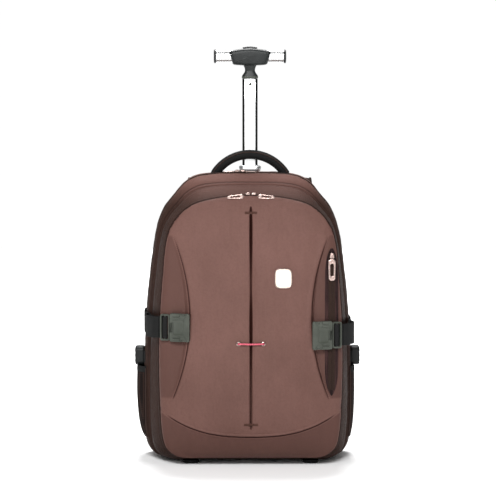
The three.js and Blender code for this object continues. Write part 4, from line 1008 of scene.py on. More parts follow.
def tape(name, middle, across, out, width):
    """Zipper: a flat tape with two rows of teeth along its middle. Each row is a half-round ridge whose
    height follows a cosine of the length, the two rows half a tooth apart."""
    length = run_length(middle)[:, None]
    s = TAPE_SHARES[None, :]
    ridge = np.sqrt(np.clip(1 - ((np.abs(s) - 0.18) / 0.17) ** 2, 0, 1))
    tooth = 0.5 + 0.5 * np.cos(2 * np.pi * length / TOOTH_PITCH + np.pi * (s > 0))
    height = TOOTH_HEIGHT * ridge * (0.35 + 0.65 * tooth) - TAPE_SINK + 0.25 * bell(np.abs(s) - 0.88, 0.05)
    side = np.broadcast_to(across, middle.shape)[:, None] * (s * width / 2)[..., None]
    up = np.broadcast_to(out, middle.shape)[:, None]
    outer = middle[:, None] + side + up * height[..., None]
    inner = middle[:, None] + side - up * (TAPE_WALL + TAPE_SINK)
    mark = np.broadcast_to((ridge > 0) * 1.0, height.shape)
    return shell(Surface(), outer, inner, closed=False, marks=mark).build(name, sharp=40)


def edge_path(edge, half, top, y, end, step):
    """Line round a seam's outer edge above a height, with its outward direction: the ring's outline,
    taken evenly."""
    line = ring_points([(y, half, edge[1], edge[2], top, edge[4])])[0]
    line = line[line[:, 2] > end]
    line = even_steps(line, int(run_length(line)[-1] / step))
    tangent = unit(np.gradient(line, axis=0))
    return line, np.stack([tangent[:, 2], 0 * tangent[:, 0], -tangent[:, 0]], 1)


def zip_top(x):
    """Height of the front zipper's tape over a place across the bag."""
    heights = np.linspace(0.5, 1, 800)
    wide = half_width_share("front", heights) * COVER_HALF
    return lerp(COVER_BOTTOM, COVER_TOP, heights[wide > abs(x)].max())


def pull(name, node, body, length, width, across, up, out, taper):
    """Zipper pull: a thin frame with a slot, narrowing to its far end, and a small ring through its near
    end."""
    surface = Surface()
    place = placer(middle_of(node), across, up, out)
    outer = rounded_loop(length - 1.2, width - 1.2, (width - 1.2) * 0.42, 96)
    inner = rounded_loop(length * 0.56, width * 0.44, width * 0.2, 96)
    for loop in (outer, inner):
        loop[:, 1] *= lerp(1.08, taper, loop[:, 0] / length + 0.5)
    ring_plate(surface, outer, inner, 1.5, place, power=0.75)
    turn = np.linspace(0, 2 * np.pi, 33)[:-1]
    hoop = placer(place(np.array([[1.8 - length / 2, 0, 0]]))[0], across, out, up)
    circle = np.stack([np.cos(turn), np.sin(turn)], 1)
    ring_plate(surface, circle * [2.4, 1.7], circle * [1.5, 0.8], 0.9, hoop, power=1)
    return shown(surface.build(name), body, ROSE_SILVER, "silver_trim", node)


def slider(name, node, body, across, up, out):
    """Zipper slider: a humped plate with a bridge over it, wider where the two rows of teeth come in."""
    surface = Surface()
    place = placer(middle_of(node), across, up, out)
    loop = rounded_loop(9, 8, 2.2, 72)
    loop[:, 1] *= lerp(0.78, 1.0, loop[:, 0] / 9 + 0.5)
    plate(surface, loop, 2.6, 0.8, place, dome=0.4)
    bridge = smooth_curve([[-3.4, 0, 0.9], [-2.6, 0, 1.9], [0, 0, 2.2], [2.6, 0, 1.9], [3.4, 0, 0.9]], 20)
    sweep(surface, place(bridge), up, 1.5, 0.45, 12, 0.6)
    return shown(surface.build(name), body, ROSE_SILVER, "silver_trim", node)


def zippers():
    """The zipper over the front cover, the one round the main compartment, and the side pocket's."""
    front_y = FRONT_Y + FRONT_ZIP_WIDTH / 2
    for zipper, edge, half, top, y, width, end in [
        ("front", FRONT_EDGE, COVER_HALF, COVER_TOP, front_y, 7.2, FRONT_ZIP_END),
        ("main", MAIN_EDGE, BODY_HALF, BAG_TOP, MAIN_ZIP_Y, 9.2, MAIN_ZIP_END),
    ]:
        line, out = edge_path(edge, half, top, y, end, 0.55)
        strip = tape(f"{zipper}_zip", line, Y_WAY, out, width)
        shown(strip, "bag", ZIP_TAPE, "zipper_tape", f"{zipper}_zipper")
    low, high = source_box("pocket_zipper")
    z = np.linspace(low[2] + 1, high[2] - 1, 430)
    x = (low[0] + high[0]) / 2
    line = np.stack([0 * z + x, cover_y(0 * z + x, z) - 2.6, z], 1)
    slope = (cover_y(0 * z + x + 5, z) - cover_y(0 * z + x - 5, z)) / 10
    across = np.stack([1 + 0 * z, slope, 0 * z], 1) / np.sqrt(1 + slope**2)[:, None]
    out = np.cross(across, [0, 0, 1])
    shown(tape("pocket_zip", line, across, out, 11.6), "bag", ZIP_TAPE, "zipper_tape", "pocket_zipper")
    rows, columns = np.linspace(
        low[2] - 9, high[2] + 7, 120
    )[:, None], np.linspace(x - 12, x + 11.5, 30)[None, :]
    end = np.clip(1 - ((rows - (low[2] + high[2]) / 2) / ((high[2] - low[2]) / 2 + 10)) ** 8, 0.05, 1)
    wide = x + (columns - x) * end
    ripple = 0.35 * np.sin(rows / 7 * 2 * np.pi + np.sin(rows / 19)) * bell(np.abs(wide - x) - 9, 3)
    face = cover_y(wide, rows + 0 * columns)
    outer = np.stack([wide, face - 1.1 + ripple, rows + 0 * wide], -1)
    inner = np.stack([wide, face + 0.3, rows + 0 * wide], -1)
    flap = shell(Surface(), outer, inner, closed=False).build("pocket_zip_binding")
    shown(flap, "bag", STREAKED_CLOTH, "zipper_tape", "pocket_zipper")


def zip_trim():
    """Sliders and pulls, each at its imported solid's middle."""
    for side, sign in SIGN.items():
        for zipper in ("front", "main"):
            slider(
                f"{zipper}_zip_slider_{side}", f"{zipper}_slider_{side}", "bag", sign * X_WAY,
                Y_WAY, Z_WAY
            )
            if zipper == "front":
                x = middle_of(f"front_pull_{side}")[0]
                drop = zip_top(x + 14) - zip_top(x - 14)
                along = np.array([28.0, 0, drop]) * sign
                across = [-along[2], 0, along[0]]
                pull(
                    f"front_zip_pull_{side}", f"front_pull_{side}", "bag", 29, 9, along, across,
                    -Y_WAY, 0.62
                )
            else:
                pull(
                    f"main_zip_pull_{side}", f"main_pull_{side}", "bag", 21, 9, sign * X_WAY, Y_WAY,
                    Z_WAY, 0.7
                )
    slider("pocket_zip_slider", "pocket_slider", "bag", -Z_WAY, X_WAY, -Y_WAY)
    pull("pocket_zip_pull", "pocket_pull", "pocket_tab", 38, 13, -Z_WAY, X_WAY, -Y_WAY, 0.92)


# Small trim on the front


def cover_strip(name, x0, x1, z0, z1, stand, finish, slot_name, threads):
    """Low raised patch on the cover between two columns and two heights: a half-sine crown, ribbed by its
    threads."""
    across, up = np.linspace(0, 1, 120)[None, :], np.linspace(0, 1, 16)[:, None]
    x, z = lerp(x0, x1, across) + 0 * up, lerp(z0, z1, up) + 0 * across
    crown = stand * (np.sin(np.pi * across) * np.sin(np.pi * up)) ** 0.35
    crown = crown + 0.18 * np.sin(2 * np.pi * across * threads) * (crown > 0.2)
    half = COVER_HALF * half_width_share("front", (z - COVER_BOTTOM) / (COVER_TOP - COVER_BOTTOM))
    back, _ = cover_detail(x, z, x / half)
    face = cover_y(x, z) + np.minimum(back, cover_y(x0 + 0 * x, z) - cover_y(x, z) + back)
    face = np.minimum(face, cover_y(x0 + 0 * x, z))
    outer = np.stack([x, face - crown, z], -1)
    inner = np.stack([x, face + 1.2, z], -1)
    piece = shell(Surface(), outer, inner, closed=False).build(name)
    return shown(piece, "bag", finish, slot_name)


def cord_of(surface, path, radius, strands, pitch, depth=0.12):
    """Braided cord: a circle carried along a path, its radius dipping where crossing strands meet."""
    path = np.asarray(path, float)
    _, side, normal = frames_along(path, Z_WAY)
    angle = np.linspace(0, 2 * np.pi, 25)[:-1]
    length = run_length(path)[:, None]
    turn = 2 * np.pi * length / pitch
    lift = np.maximum(np.cos(strands * angle + turn), np.cos(strands * angle - turn))
    wide = radius * (1 - depth + depth * lift)
    rows = path[:, None] + (
        np.cos(angle) * wide
    )[..., None] * side[:, None] + (np.sin(angle) * wide)[..., None] * normal[:, None]
    return surface.grid(capped(path, rows), columns_closed=True)


def front_trim():
    """Badge with its rim, the eyelets with their elastic, and the two bar tacks of the pleat."""
    middle = middle_of("badge")
    slope = float(cover_y(middle[0] + 15, middle[2]) - cover_y(middle[0] - 15, middle[2])) / 30
    lean = float(cover_y(middle[0], middle[2] + 17) - cover_y(middle[0], middle[2] - 17)) / 34
    across, up = np.array([1, slope, 0]), np.array([0, lean, 1])
    place = placer(middle, across, up, np.cross(across, up))
    turn = np.linspace(0, 2 * np.pi, 121)[:-1]
    shape = np.stack([bent(np.cos(turn), 0.5), bent(np.sin(turn), 0.5)], 1)
    face = plate(Surface(), shape * [13.6, 15.6], 2.4, 0.7, place, dome=0.7, dish=0.25)
    shown(face.build("badge_face"), "bag", ENAMEL, "badge_enamel", "badge")
    rim = ring_plate(Surface(), shape * [15, 17], shape * [13.4, 15.4], 2.9, place, power=0.8)
    shown(rim.build("badge_rim"), "bag", ROSE_SILVER, "badge_enamel", "badge")
    ends = []
    for side in SIGN:
        middle = middle_of(f"eyelet_{side}")
        ends.append(middle)
        profile = [(1.7, -0.8), (1.9, 0.3), (2.6, 0.85), (3.4, 0.7), (4.0, 0.1), (4.2, -0.8), (1.7, -0.8)]
        ring = revolve(Surface(), profile, middle, [0, -1, 0], 56)
        shown(ring.build(f"eyelet_ring_{side}"), "bag", ROSE_SILVER, "silver_trim", f"eyelet_{side}")
    y, z = middle_of("pleat_elastic")[1], ends[0][2]
    start, stop = ends[0][0], ends[1][0]
    path = [
        [start - 0.4, y + 3.4, z],
        [start + 0.2, y + 0.9, z],
        [start + 3.5, y + 0.2, z],
        [0, y - 0.4, z - 0.3],
        [stop - 3.5, y + 0.2, z],
        [stop - 0.2, y + 0.9, z],
        [stop + 0.4, y + 3.4, z],
    ]
    cord = cord_of(Surface(), smooth_curve(path, 200), 1.5, 4, 5.5)
    shown(cord.build("pleat_elastic_cord"), "bag", RED_ELASTIC, "red_elastic", "pleat_elastic")
    for name, z, half in (("pleat_tack_top", 436, 10.5), ("pleat_tack_foot", 74.5, 12)):
        cover_strip(name, -half, half, z - 2.2, z + 2.2, 0.9, TACK_THREAD, "cloth", 26)


# Compression straps and buckles


def buckle_frame(side):
    """Plane of a buckle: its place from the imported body's box and its slant from the cover's fall, as a
    placer."""
    sign = SIGN[side]
    low, high = source_box(f"buckle_body_{side}")
    z = (low[2] + high[2]) / 2
    inner = LENS_INNER - 1
    slope = (FRONT_Y - 3 - float(cover_y(sign * inner, z))) / 53.3
    turn = math.atan(slope)
    origin = [sign * inner, low[1] + 7 * math.cos(turn), z]
    across = [sign * math.cos(turn), math.sin(turn), 0]
    return placer(origin, across, [0, 0, 1], [sign * math.sin(turn), -math.cos(turn), 0]), sign, z


def shifted(place, along, up, out):
    """A placer moved by an amount along each of its own directions."""
    return lambda points: place(np.asarray(points) + [along, up, out])


def notched_loop(length, height, notch):
    """Side-release buckle's outline: a rounded rectangle with a half-round notch in its upper and lower
    edge."""
    loop = rounded_loop(length, height, 3.4, 480)
    near = np.clip(1 - ((loop[:, 0] - notch) / 4.2) ** 2, 0, 1)
    flat = np.abs(loop[:, 1]) > height / 2 - 0.6
    loop[:, 1] -= np.sign(loop[:, 1]) * 4.2 * np.sqrt(near) * flat
    return even_steps(np.vstack([loop, loop[:1]]), 200, closed=True)


def buckle(side):
    """Side-release buckle: its body with a raised panel and the two prongs in its notches, then the
    tongue's frame, bar and slots."""
    place, _, _ = buckle_frame(side)
    surface = Surface()
    plate(surface, notched_loop(35.6, 48.6, -7.2), 6.4, 1.3, shifted(place, 18, 0, 3.5))
    plate(surface, rounded_loop(21, 27, 4, 96), 1.5, 0.5, shifted(place, 20, 0, 6.6), dish=0.4)
    for up in (-1, 1):
        plate(surface, rounded_loop(9.5, 4.6, 1.8, 60), 4.6, 0.9, shifted(place, 10.8, up * 21.6, 3.5))
        plate(surface, rounded_loop(15, 3.0, 1.3, 60), 1.6, 0.5, shifted(place, 24, up * 18.4, 6.4))
    for step in (-1, 0, 1):
        plate(surface, rounded_loop(1.4, 18, 0.6, 48), 1.6, 0.4, shifted(place, 31.5 + step * 2.2, 0, 6.5))
    shown(surface.build(f"buckle_shell_{side}"), "bag", GREY_PLASTIC, "grey_plastic", f"buckle_body_{side}")
    surface = Surface()
    outer, inner = rounded_loop(16.6, 45.6, 3.8, 120), rounded_loop(12, 39.6, 1.6, 120)
    ring_plate(surface, outer, inner - [0.5, 0], 5.2, shifted(place, 44.8, 0, 3.5), power=0.55)
    bar = shifted(place, 44.2, 0, 3.5)(np.array([[0, -21, 0], [0, 0, 0], [0, 21, 0]], float))
    sweep(
        surface, smooth_curve(bar, 12),
        place(np.array([[1.0, 0, 0]]))[0] - place(np.zeros((1, 3)))[0], 1.35, 1.9, 12, 0.6
    )
    shown(
        surface.build(f"buckle_frame_{side}"), "bag", GREY_PLASTIC, "grey_plastic",
        f"buckle_tongue_{side}"
    )


def strap_path(side):
    """Line of a compression strap, as the part has it: over the buckle's bar, out round the body's corner
    with a slight bulge, and back along the side."""
    place, sign, z = buckle_frame(side)
    over_bar = [
        [40.9, 0, 1.9], [41.0, 0, 4.2], [42.4, 0, 6.2], [44.2, 0, 6.7], [46.2, 0, 6.1],
        [47.9, 0, 3.4], [50.5, 0, 0.5],
    ]
    hooked = place(np.array(over_bar))
    start = place(np.array([[56.5, 0, 2.0]]))[0]
    heights = np.array([z - 19, z, z + 19])
    stand = 0.8 + 5 * CLEARANCE

    def wide(y):
        return max(side_at(np.full(3, float(y)), heights, sign)) + stand

    places = [lerp(PARTITION_Y, 68, share) for share in (0, 0.22, 0.45, 0.75, 0.87, 1)]
    places[2] = MAIN_ZIP_Y
    on_side = [[wide(y) + (ZIP_SINK if y == MAIN_ZIP_Y else 0), y, z] for y in places]
    corner = [wide(-58) + 6, -58, z]
    lead = [(abs(start[0]) + corner[0]) / 2, (start[1] + FRONT_Y) / 2, z]
    on_side[0][0] += 2
    outside = np.array([lead, corner, *on_side])
    outside[:, 0] *= sign
    return np.vstack([hooked, [start], outside]), sign


def compression_strap(side):
    """Webbing on its path, and its loose end lying back over it in a low loop."""
    path, sign = strap_path(side)
    surface = Surface()
    line = smooth_curve(path, 170)
    webbing(surface, line, Z_WAY, STRAP_HALF, 0.65)
    tail = line[20:92].copy()
    _, _, normal = frames_along(tail, Z_WAY)
    normal *= np.sign((normal * [sign, -1, 0]).sum(1))[:, None]
    share = np.linspace(0, 1, len(tail))[:, None]
    tail = tail + normal * (1.7 + STRAP_TAIL_BULGE * np.sin(np.pi * share) ** 2 * (1 - 0.5 * share))
    webbing(surface, tail, Z_WAY, STRAP_HALF - 0.2, 0.6)
    hem = tail[-9:] + normal[-9:] * 1.1
    webbing(surface, hem, Z_WAY, STRAP_HALF - 0.4, 0.6)
    shown(
        surface.build(f"strap_webbing_{side}"), "bag", WEBBING, "black_webbing",
        f"compression_strap_{side}"
    )


zippers()
zip_trim()
front_trim()
for side_name in SIGN:
    buckle(side_name)
    compression_strap(side_name)


# Bottle pockets and side adjusters


def pocket_face(side, wall):
    """Bottle pocket's face: the body's side, plus a bulge that is round across and fullest halfway up,
    with the gathers of its elastic rim as waves that die away downwards."""
    sign = SIGN[side]
    along, up = np.linspace(0, 1, 91)[None, :], np.linspace(0, 1, 71)[:, None]
    z, y = lerp(POCKET_FLOOR, POCKET_RIM, up) + 0 * along, lerp(POCKET_FRONT, POCKET_BACK, along) + 0 * up
    round_share = (4 * along * (1 - along)) ** 0.45
    belly = (1 - (1 - up) ** 2.4) ** 0.6 * (1 - 0.12 * up**4)
    gather = np.sin(along * 2 * np.pi * 15 + np.sin(along * 9)) * np.exp(-(1 - up) * 5) * round_share
    bulge = (POCKET_BULGE[sign] - 1.6) * round_share * belly + 0.55 * gather
    x = side_at(y, z, sign) + 1.2 + bulge + wall
    return np.stack([sign * x, y, z], -1), sign


def bottle_pocket(side):
    """Mesh pouch, the elastic band round its rim, and the binding that sews it down along its other
    edges."""
    node = f"side_pocket_{side}"
    outer, sign = pocket_face(side, 1.6)
    inner, _ = pocket_face(side, 0.2)
    shown(
        shell(Surface(), outer, inner, closed=False).build(f"pocket_pouch_{side}"), "bag",
        POCKET_MESH, "dark_mesh_cloth", node
    )
    rim = smooth_curve((outer[-2] + inner[-2]) / 2, 260)
    band = Surface()
    sweep(band, rim, Z_WAY, 5.2, 1.25, 16, 0.5)
    shown(band.build(f"pocket_band_{side}"), "bag", WEBBING, "black_webbing", node)
    edge = np.vstack([outer[::-1, 0], outer[0, 1:-1], outer[:, -1]])
    bound = Surface()
    cord_of(bound, smooth_curve(edge[::3] - [sign * 0.6, 0, 0], 240), 1.5, 1, 4, 0.05)
    shown(bound.build(f"pocket_binding_{side}"), "bag", BINDING, "dark_mesh_cloth", node)


def side_adjuster(side):
    """Moulded adjuster: a block with a rounded, slightly hollow face and three grip ribs, over a short
    webbing."""
    node = f"side_adjuster_{side}"
    sign = SIGN[side]
    low, high = source_box(node)
    middle, depth = (low + high) / 2, high[0] - low[0]
    place = placer(middle, [0, 1, 0], [0, 0, 1], [sign, 0, 0])
    surface = Surface()
    plate(surface, rounded_loop(31.6, 32.6, 7, 120), depth - 0.6, 3.2, place, dish=0.5)
    for up in (-9, 0, 9):
        plate(surface, rounded_loop(21, 2.6, 1.2, 72), 1.6, 0.6, shifted(place, 0, up, depth / 2 - 0.6))
    shown(surface.build(f"adjuster_block_{side}"), "bag", BLACK_PLASTIC, "black_plastic", node)
    y = np.linspace(low[1] - 16, high[1] + 16, 60)
    x = np.array([side_at(v, middle[2], sign) for v in y]) + 1.4 + ZIP_SINK * bell(y - MAIN_ZIP_Y, 12)
    line = np.stack([sign * x, y, 0 * y + middle[2]], 1)
    short = webbing(Surface(), line, Z_WAY, 9.8, 0.6)
    shown(short.build(f"adjuster_webbing_{side}"), "bag", WEBBING, "black_webbing", node)


# Padded pieces


CLOTH_FRAMES = 20
PADDING_STIFFNESS = 12


def padded_form(piece, pressure, cap, voxel):
    """Swells a closed form into padding: remeshed in even cells, blown up as cloth without gravity, each
    point's travel capped, and smoothed by one subdivision."""
    start = piece.modifiers.new("cells", "REMESH")
    start.mode, start.voxel_size, start.use_smooth_shade = "VOXEL", voxel * MM, True
    apply_changes(piece)
    rest = np.empty(len(piece.data.vertices) * 3, np.float32)
    piece.data.vertices.foreach_get("co", rest)
    cloth = piece.modifiers.new("cloth", "CLOTH")
    cloth.settings.use_pressure, cloth.settings.uniform_pressure_force = True, pressure
    cloth.settings.effector_weights.gravity = 0
    cloth.settings.tension_stiffness = cloth.settings.compression_stiffness = PADDING_STIFFNESS
    cloth.point_cache.frame_start, cloth.point_cache.frame_end = 1, CLOTH_FRAMES
    for step in range(1, CLOTH_FRAMES + 1):
        bpy.context.scene.frame_set(step)
    apply_changes(piece)
    bpy.context.scene.frame_set(1)
    moved = np.empty_like(rest)
    piece.data.vertices.foreach_get("co", moved)
    way = (moved - rest).reshape(-1, 3)
    length = np.linalg.norm(way, axis=1)[:, None]
    way *= np.minimum(1, cap * MM / np.maximum(length, 1e-9))
    piece.data.vertices.foreach_set("co", (rest.reshape(-1, 3) + way).ravel())
    smooth = piece.modifiers.new("smooth", "SUBSURF")
    smooth.levels = smooth.render_levels = 1
    apply_changes(piece)
    piece.data.shade_smooth()
    return piece


def grab_line(count):
    """Arc of the grab handle between its feet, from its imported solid's box."""
    low, high = source_box("grab_handle")
    y, thick = (low[1] + high[1]) / 2, 19
    top, span = high[2] - thick / 2, GRAB_SPAN
    foot = top_at(y, span - thick / 2) + 2 * CLEARANCE + thick / 3
    rise = top - foot
    radius = (span**2 + rise**2) / (2 * rise)
    turn = np.linspace(-1, 1, count) * math.asin(min(span / radius, 1)) * 1.2
    return np.stack([radius * np.sin(turn), 0 * turn + y, top - radius * (1 - np.cos(turn))], 1), turn


def grab_handle():
    """Padded handle: a swollen round bar under black webbing cloth, with a sewn seam along each side."""
    line, turn = grab_line(60)
    core = sweep(Surface(), line, Y_WAY, 10.6, 8.3, 24, 0.85).build("grab_padding")
    padded_form(core, 3.0, 1.6, 3.2)
    shown(core, "bag", HANDLE_CLOTH, "black_webbing", "grab_handle")
    seams = Surface()
    out = np.stack([np.sin(turn), 0 * turn, np.cos(turn)], 1)
    for deep in (-1, 1):
        path = line + out * 4.2 + np.array([0, deep * 9.9, 0])
        cord_of(seams, even_steps(path, 260), 1.0, 1, 3, 0.1)
    shown(seams.build("grab_piping"), "bag", BINDING, "black_webbing", "grab_handle")


def shoulder_line(sign, count):
    """Arch of a shoulder strap down to its end, through the same places as in the part."""
    back = BACK_Y + 6.5 + 1
    places = [
        (-0.67, 0, -0.13), (-0.33, 0.1, 0), (0, 0.55, 0.03), (0.33, 0.92, -0.15), (0.67, 1, -0.5),
        (1, 0.8, -1)
    ]
    drop = STRAP_ROOT - STRAP_END
    return smooth_curve(
        [[sign * (80 + 12 * out), back + 30 * reach, STRAP_ROOT + drop * up] for out, reach, up in places],
        count
    )


def shoulder_strap(side):
    """Padded strap that swells between its bound edges, a webbing sewn down its middle, and its mesh
    lining."""
    sign = SIGN[side]
    node = f"shoulder_strap_{side}"
    line = shoulder_line(sign, 90)
    share = np.linspace(0, 1, 90)
    wide = 30 * lerp(1, 0.72, ease((share - 0.55) / 0.45))
    core = sweep(Surface(), line, X_WAY, wide - 1.2, 4.6, 28, 0.6).build(f"strap_padding_{side}")
    padded_form(core, 3.5, 2.0, 4.0)
    shown(core, "bag", BACK_MESH, "dark_mesh_cloth", node)
    bound = Surface()
    _, across, normal = frames_along(line, X_WAY)
    for edge in (-1, 1):
        sweep(bound, line + across * edge * (wide - 1.4)[:, None], X_WAY, 2.2, 3.2, 12, 0.7)
    shown(bound.build(f"strap_binding_{side}"), "bag", BINDING, "dark_mesh_cloth", node)
    facing = np.sign(normal[45, 1])
    ribbon = webbing(Surface(), line[6:86] + normal[6:86] * facing * 6.9, X_WAY, 12.5, 0.7)
    shown(ribbon.build(f"strap_ribbon_{side}"), "bag", WEBBING, "black_webbing", node)


def back_pad():
    """Quilted back panel: channels run up it and across it, the padding between them rises as a sine, and
    the binding holds its edge down."""
    low, high = source_box("back_pad")
    width, height = high[0] - low[0], high[2] - low[2]
    middle = (low + high) / 2
    loop = rounded_loop(width - 3, height - 3, 59, 240)
    rings = np.concatenate([np.linspace(1, 0.9, 10), np.linspace(0.9, 0, 56)[1:]])[:, None, None]
    flat = loop[None] * rings
    edge = ease((1 - rings[..., 0]) / 0.1)
    columns = np.abs(np.sin(flat[..., 0] / 62 * np.pi))
    rows = np.abs(np.sin((flat[..., 1] + 54) / 108 * np.pi))
    held = ease(columns / 0.5) * ease(rows / 0.42) ** 0.8
    rise = (1.4 + 5.4 * held) * (0.25 + 0.75 * edge)
    face = np.stack([middle[0] + flat[..., 0], high[1] - 7.4 + rise, middle[2] + flat[..., 1]], -1)
    rear = np.stack([middle[0] + flat[..., 0], low[1] + 0 * rise, middle[2] + flat[..., 1]], -1)
    pad = Surface().grid(np.concatenate([rear[::-1], face]), columns_closed=True).build("back_padding")
    shown(pad, "bag", BACK_MESH, "dark_mesh_cloth", "back_pad")
    ring = np.stack([middle[0] + loop[:, 0], 0 * loop[:, 0] + low[1] + 2.6, middle[2] + loop[:, 1]], 1)
    trim = Surface()
    tube = np.linspace(0, 2 * np.pi, 13)[:-1]
    spoke = np.stack([loop[:, 0], 0 * loop[:, 0], loop[:, 1]], 1) / np.linalg.norm(loop, axis=1)[:, None]
    around = np.cos(tube)[None, :, None] * 1.6 * spoke[:, None] + np.sin(tube)[None, :, None] * [0, 2.4, 0]
    points = ring[:, None] + around
    trim.grid(points, rows_closed=True, columns_closed=True)
    shown(trim.build("back_binding"), "bag", BINDING, "dark_mesh_cloth", "back_pad")


# Trolley


def standing(along=0, height=0):
    """A placer for level pieces of the trolley: across is X, up is Y, and out is the height."""
    return placer([along, TUBE_Y, height], X_WAY, Y_WAY, Z_WAY)


def tube(name, node, sizes, finish, body, slot_name):
    """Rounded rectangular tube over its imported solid's height, its four rims eased."""
    low, high = source_box(node)
    width, depth, corner, wall = sizes
    outer = rounded_loop(width, depth, corner, 128)
    inner = rounded_loop(width - 2 * wall, depth - 2 * wall, corner - wall + 0.3, 128)
    heights = [low[2], low[2] + 0.3, low[2] + 40, high[2] - 40, high[2] - 0.3, high[2]]
    ease_in = [0.3, 0, 0, 0, 0, 0.3]
    out_rows = np.stack(
        [np.column_stack([inset(outer, e), np.full(128, h)]) for e, h in zip(ease_in, heights)]
    )
    in_rows = np.stack(
        [np.column_stack([inset(inner, -e), np.full(128, h)]) for e, h in zip(ease_in, heights)]
    )
    place = standing()
    made = shell(Surface(), place(out_rows), place(in_rows)).build(name, sharp=50)
    return shown(made, body, finish, slot_name, node)


def lofted(surface, rows, sides, power):
    """Closed form through level sections: each row is height, half width and half depth of a rounded
    rectangle."""
    rows = np.asarray(rows, float)
    angle = np.linspace(0, 2 * np.pi, sides + 1)[:-1]
    across, deep = bent(np.cos(angle), power)[None], bent(np.sin(angle), power)[None]
    flat = np.stack([across * rows[:, 1:2], deep * rows[:, 2:3], rows[:, :1] + 0 * across], -1)
    ends = [flat[:1] * [0, 0, 1], flat[-1:] * [0, 0, 1]]
    return surface.grid(standing()(np.concatenate([ends[0], flat, ends[1]])), columns_closed=True)


def trolley():
    """Outer tube with its collar, the sliding tube with a rivet, and the waisted neck with its ring."""
    tube("trolley_sleeve", "outer_tube", SLEEVE_TUBE, SILVER_TUBE, "bag", "silver_tube")
    tube("trolley_tube", "handle_tube", SLIDING_TUBE, SILVER_TUBE, "handle", "silver_tube")
    low, high = source_box("tube_collar")
    outer, inner = rounded_loop(39, 29, 9, 128), rounded_loop(28.2, 17.2, 4.5, 128)
    place = standing(0, (low[2] + high[2]) / 2)
    collar = ring_plate(Surface(), outer, inner, high[2] - low[2], place, power=0.5, sides=24)
    ring_plate(collar, outer * 0.92, inner, 2.0, shifted(place, 0, 0, 4.0), power=0.6)
    shown(collar.build("trolley_collar"), "bag", SILVER_BAR, "black_plastic", "tube_collar")
    rivet = revolve(
        Surface(), [(0, 0.35), (2.0, 0.32), (2.8, 0.18), (3.0, -0.4), (0, -0.4)],
        [0.4, TUBE_Y - 8, 655], [0, -1, 0], 32
    )
    shown(rivet.build("trolley_rivet"), "handle", GREY_PLASTIC, "silver_tube", "handle_tube")
    low, high = source_box("handle_neck")
    rows = [
        (0, 0.8, 1.06), (0.03, 0.96, 1.1), (0.06, 1, 1.12), (0.22, 0.92, 1.06), (0.42, 0.3, 0.94),
        (0.58, 0, 0.87), (0.78, 0.1, 0.94), (1, 0.57, 1)
    ]
    rows = [(lerp(low[2], high[2], up), lerp(18, 28.5, wide) / 2, 8 * deep) for up, wide, deep in rows]
    neck = lofted(Surface(), smooth_curve(rows, 48), 72, 0.55)
    shown(neck.build("handle_waist"), "handle", HANDLE_PLASTIC, "black_plastic", "handle_neck")
    ring = tube_ring(low[2] + 2.6, 28.9, 18.4, 2.8)
    shown(ring.build("handle_ring"), "handle", GREY_PLASTIC, "black_plastic", "handle_neck")


def tube_ring(z, width, depth, tall):
    """Level band round the neck."""
    outer, inner = rounded_loop(width, depth, 6.5, 128), rounded_loop(width - 4, depth - 4, 4.6, 128)
    return ring_plate(Surface(), outer, inner, tall, standing(0, z), power=0.6)


def grip_loop():
    """Outline of the grip: wider at its top than at its foot, with eased corners and a slightly crowned
    top."""
    low, high = source_box("handle_grip")
    half_top, half_foot, tall = (high[0] - low[0]) / 2, 30.5, high[2] - low[2]
    points = [
        (-half_foot + 5, -tall / 2),
        (half_foot - 5, -tall / 2),
        (half_foot - 0.4, -tall / 2 + 1.6),
        (half_foot + 1.4, -tall / 2 + 6),
        (half_top - 0.6, tall / 2 - 12),
        (half_top - 0.3, tall / 2 - 7.5),
        (half_top - 3, tall / 2 - 4.6),
        (half_top - 9, tall / 2 - 3.2),
        (0, tall / 2),
    ]
    right = np.array(points[1:], float)
    ring = np.vstack([points[:1], right, (right[:-1] * [-1, 1])[::-1][:-1]])
    return smooth_curve(ring, 240, closed=True)


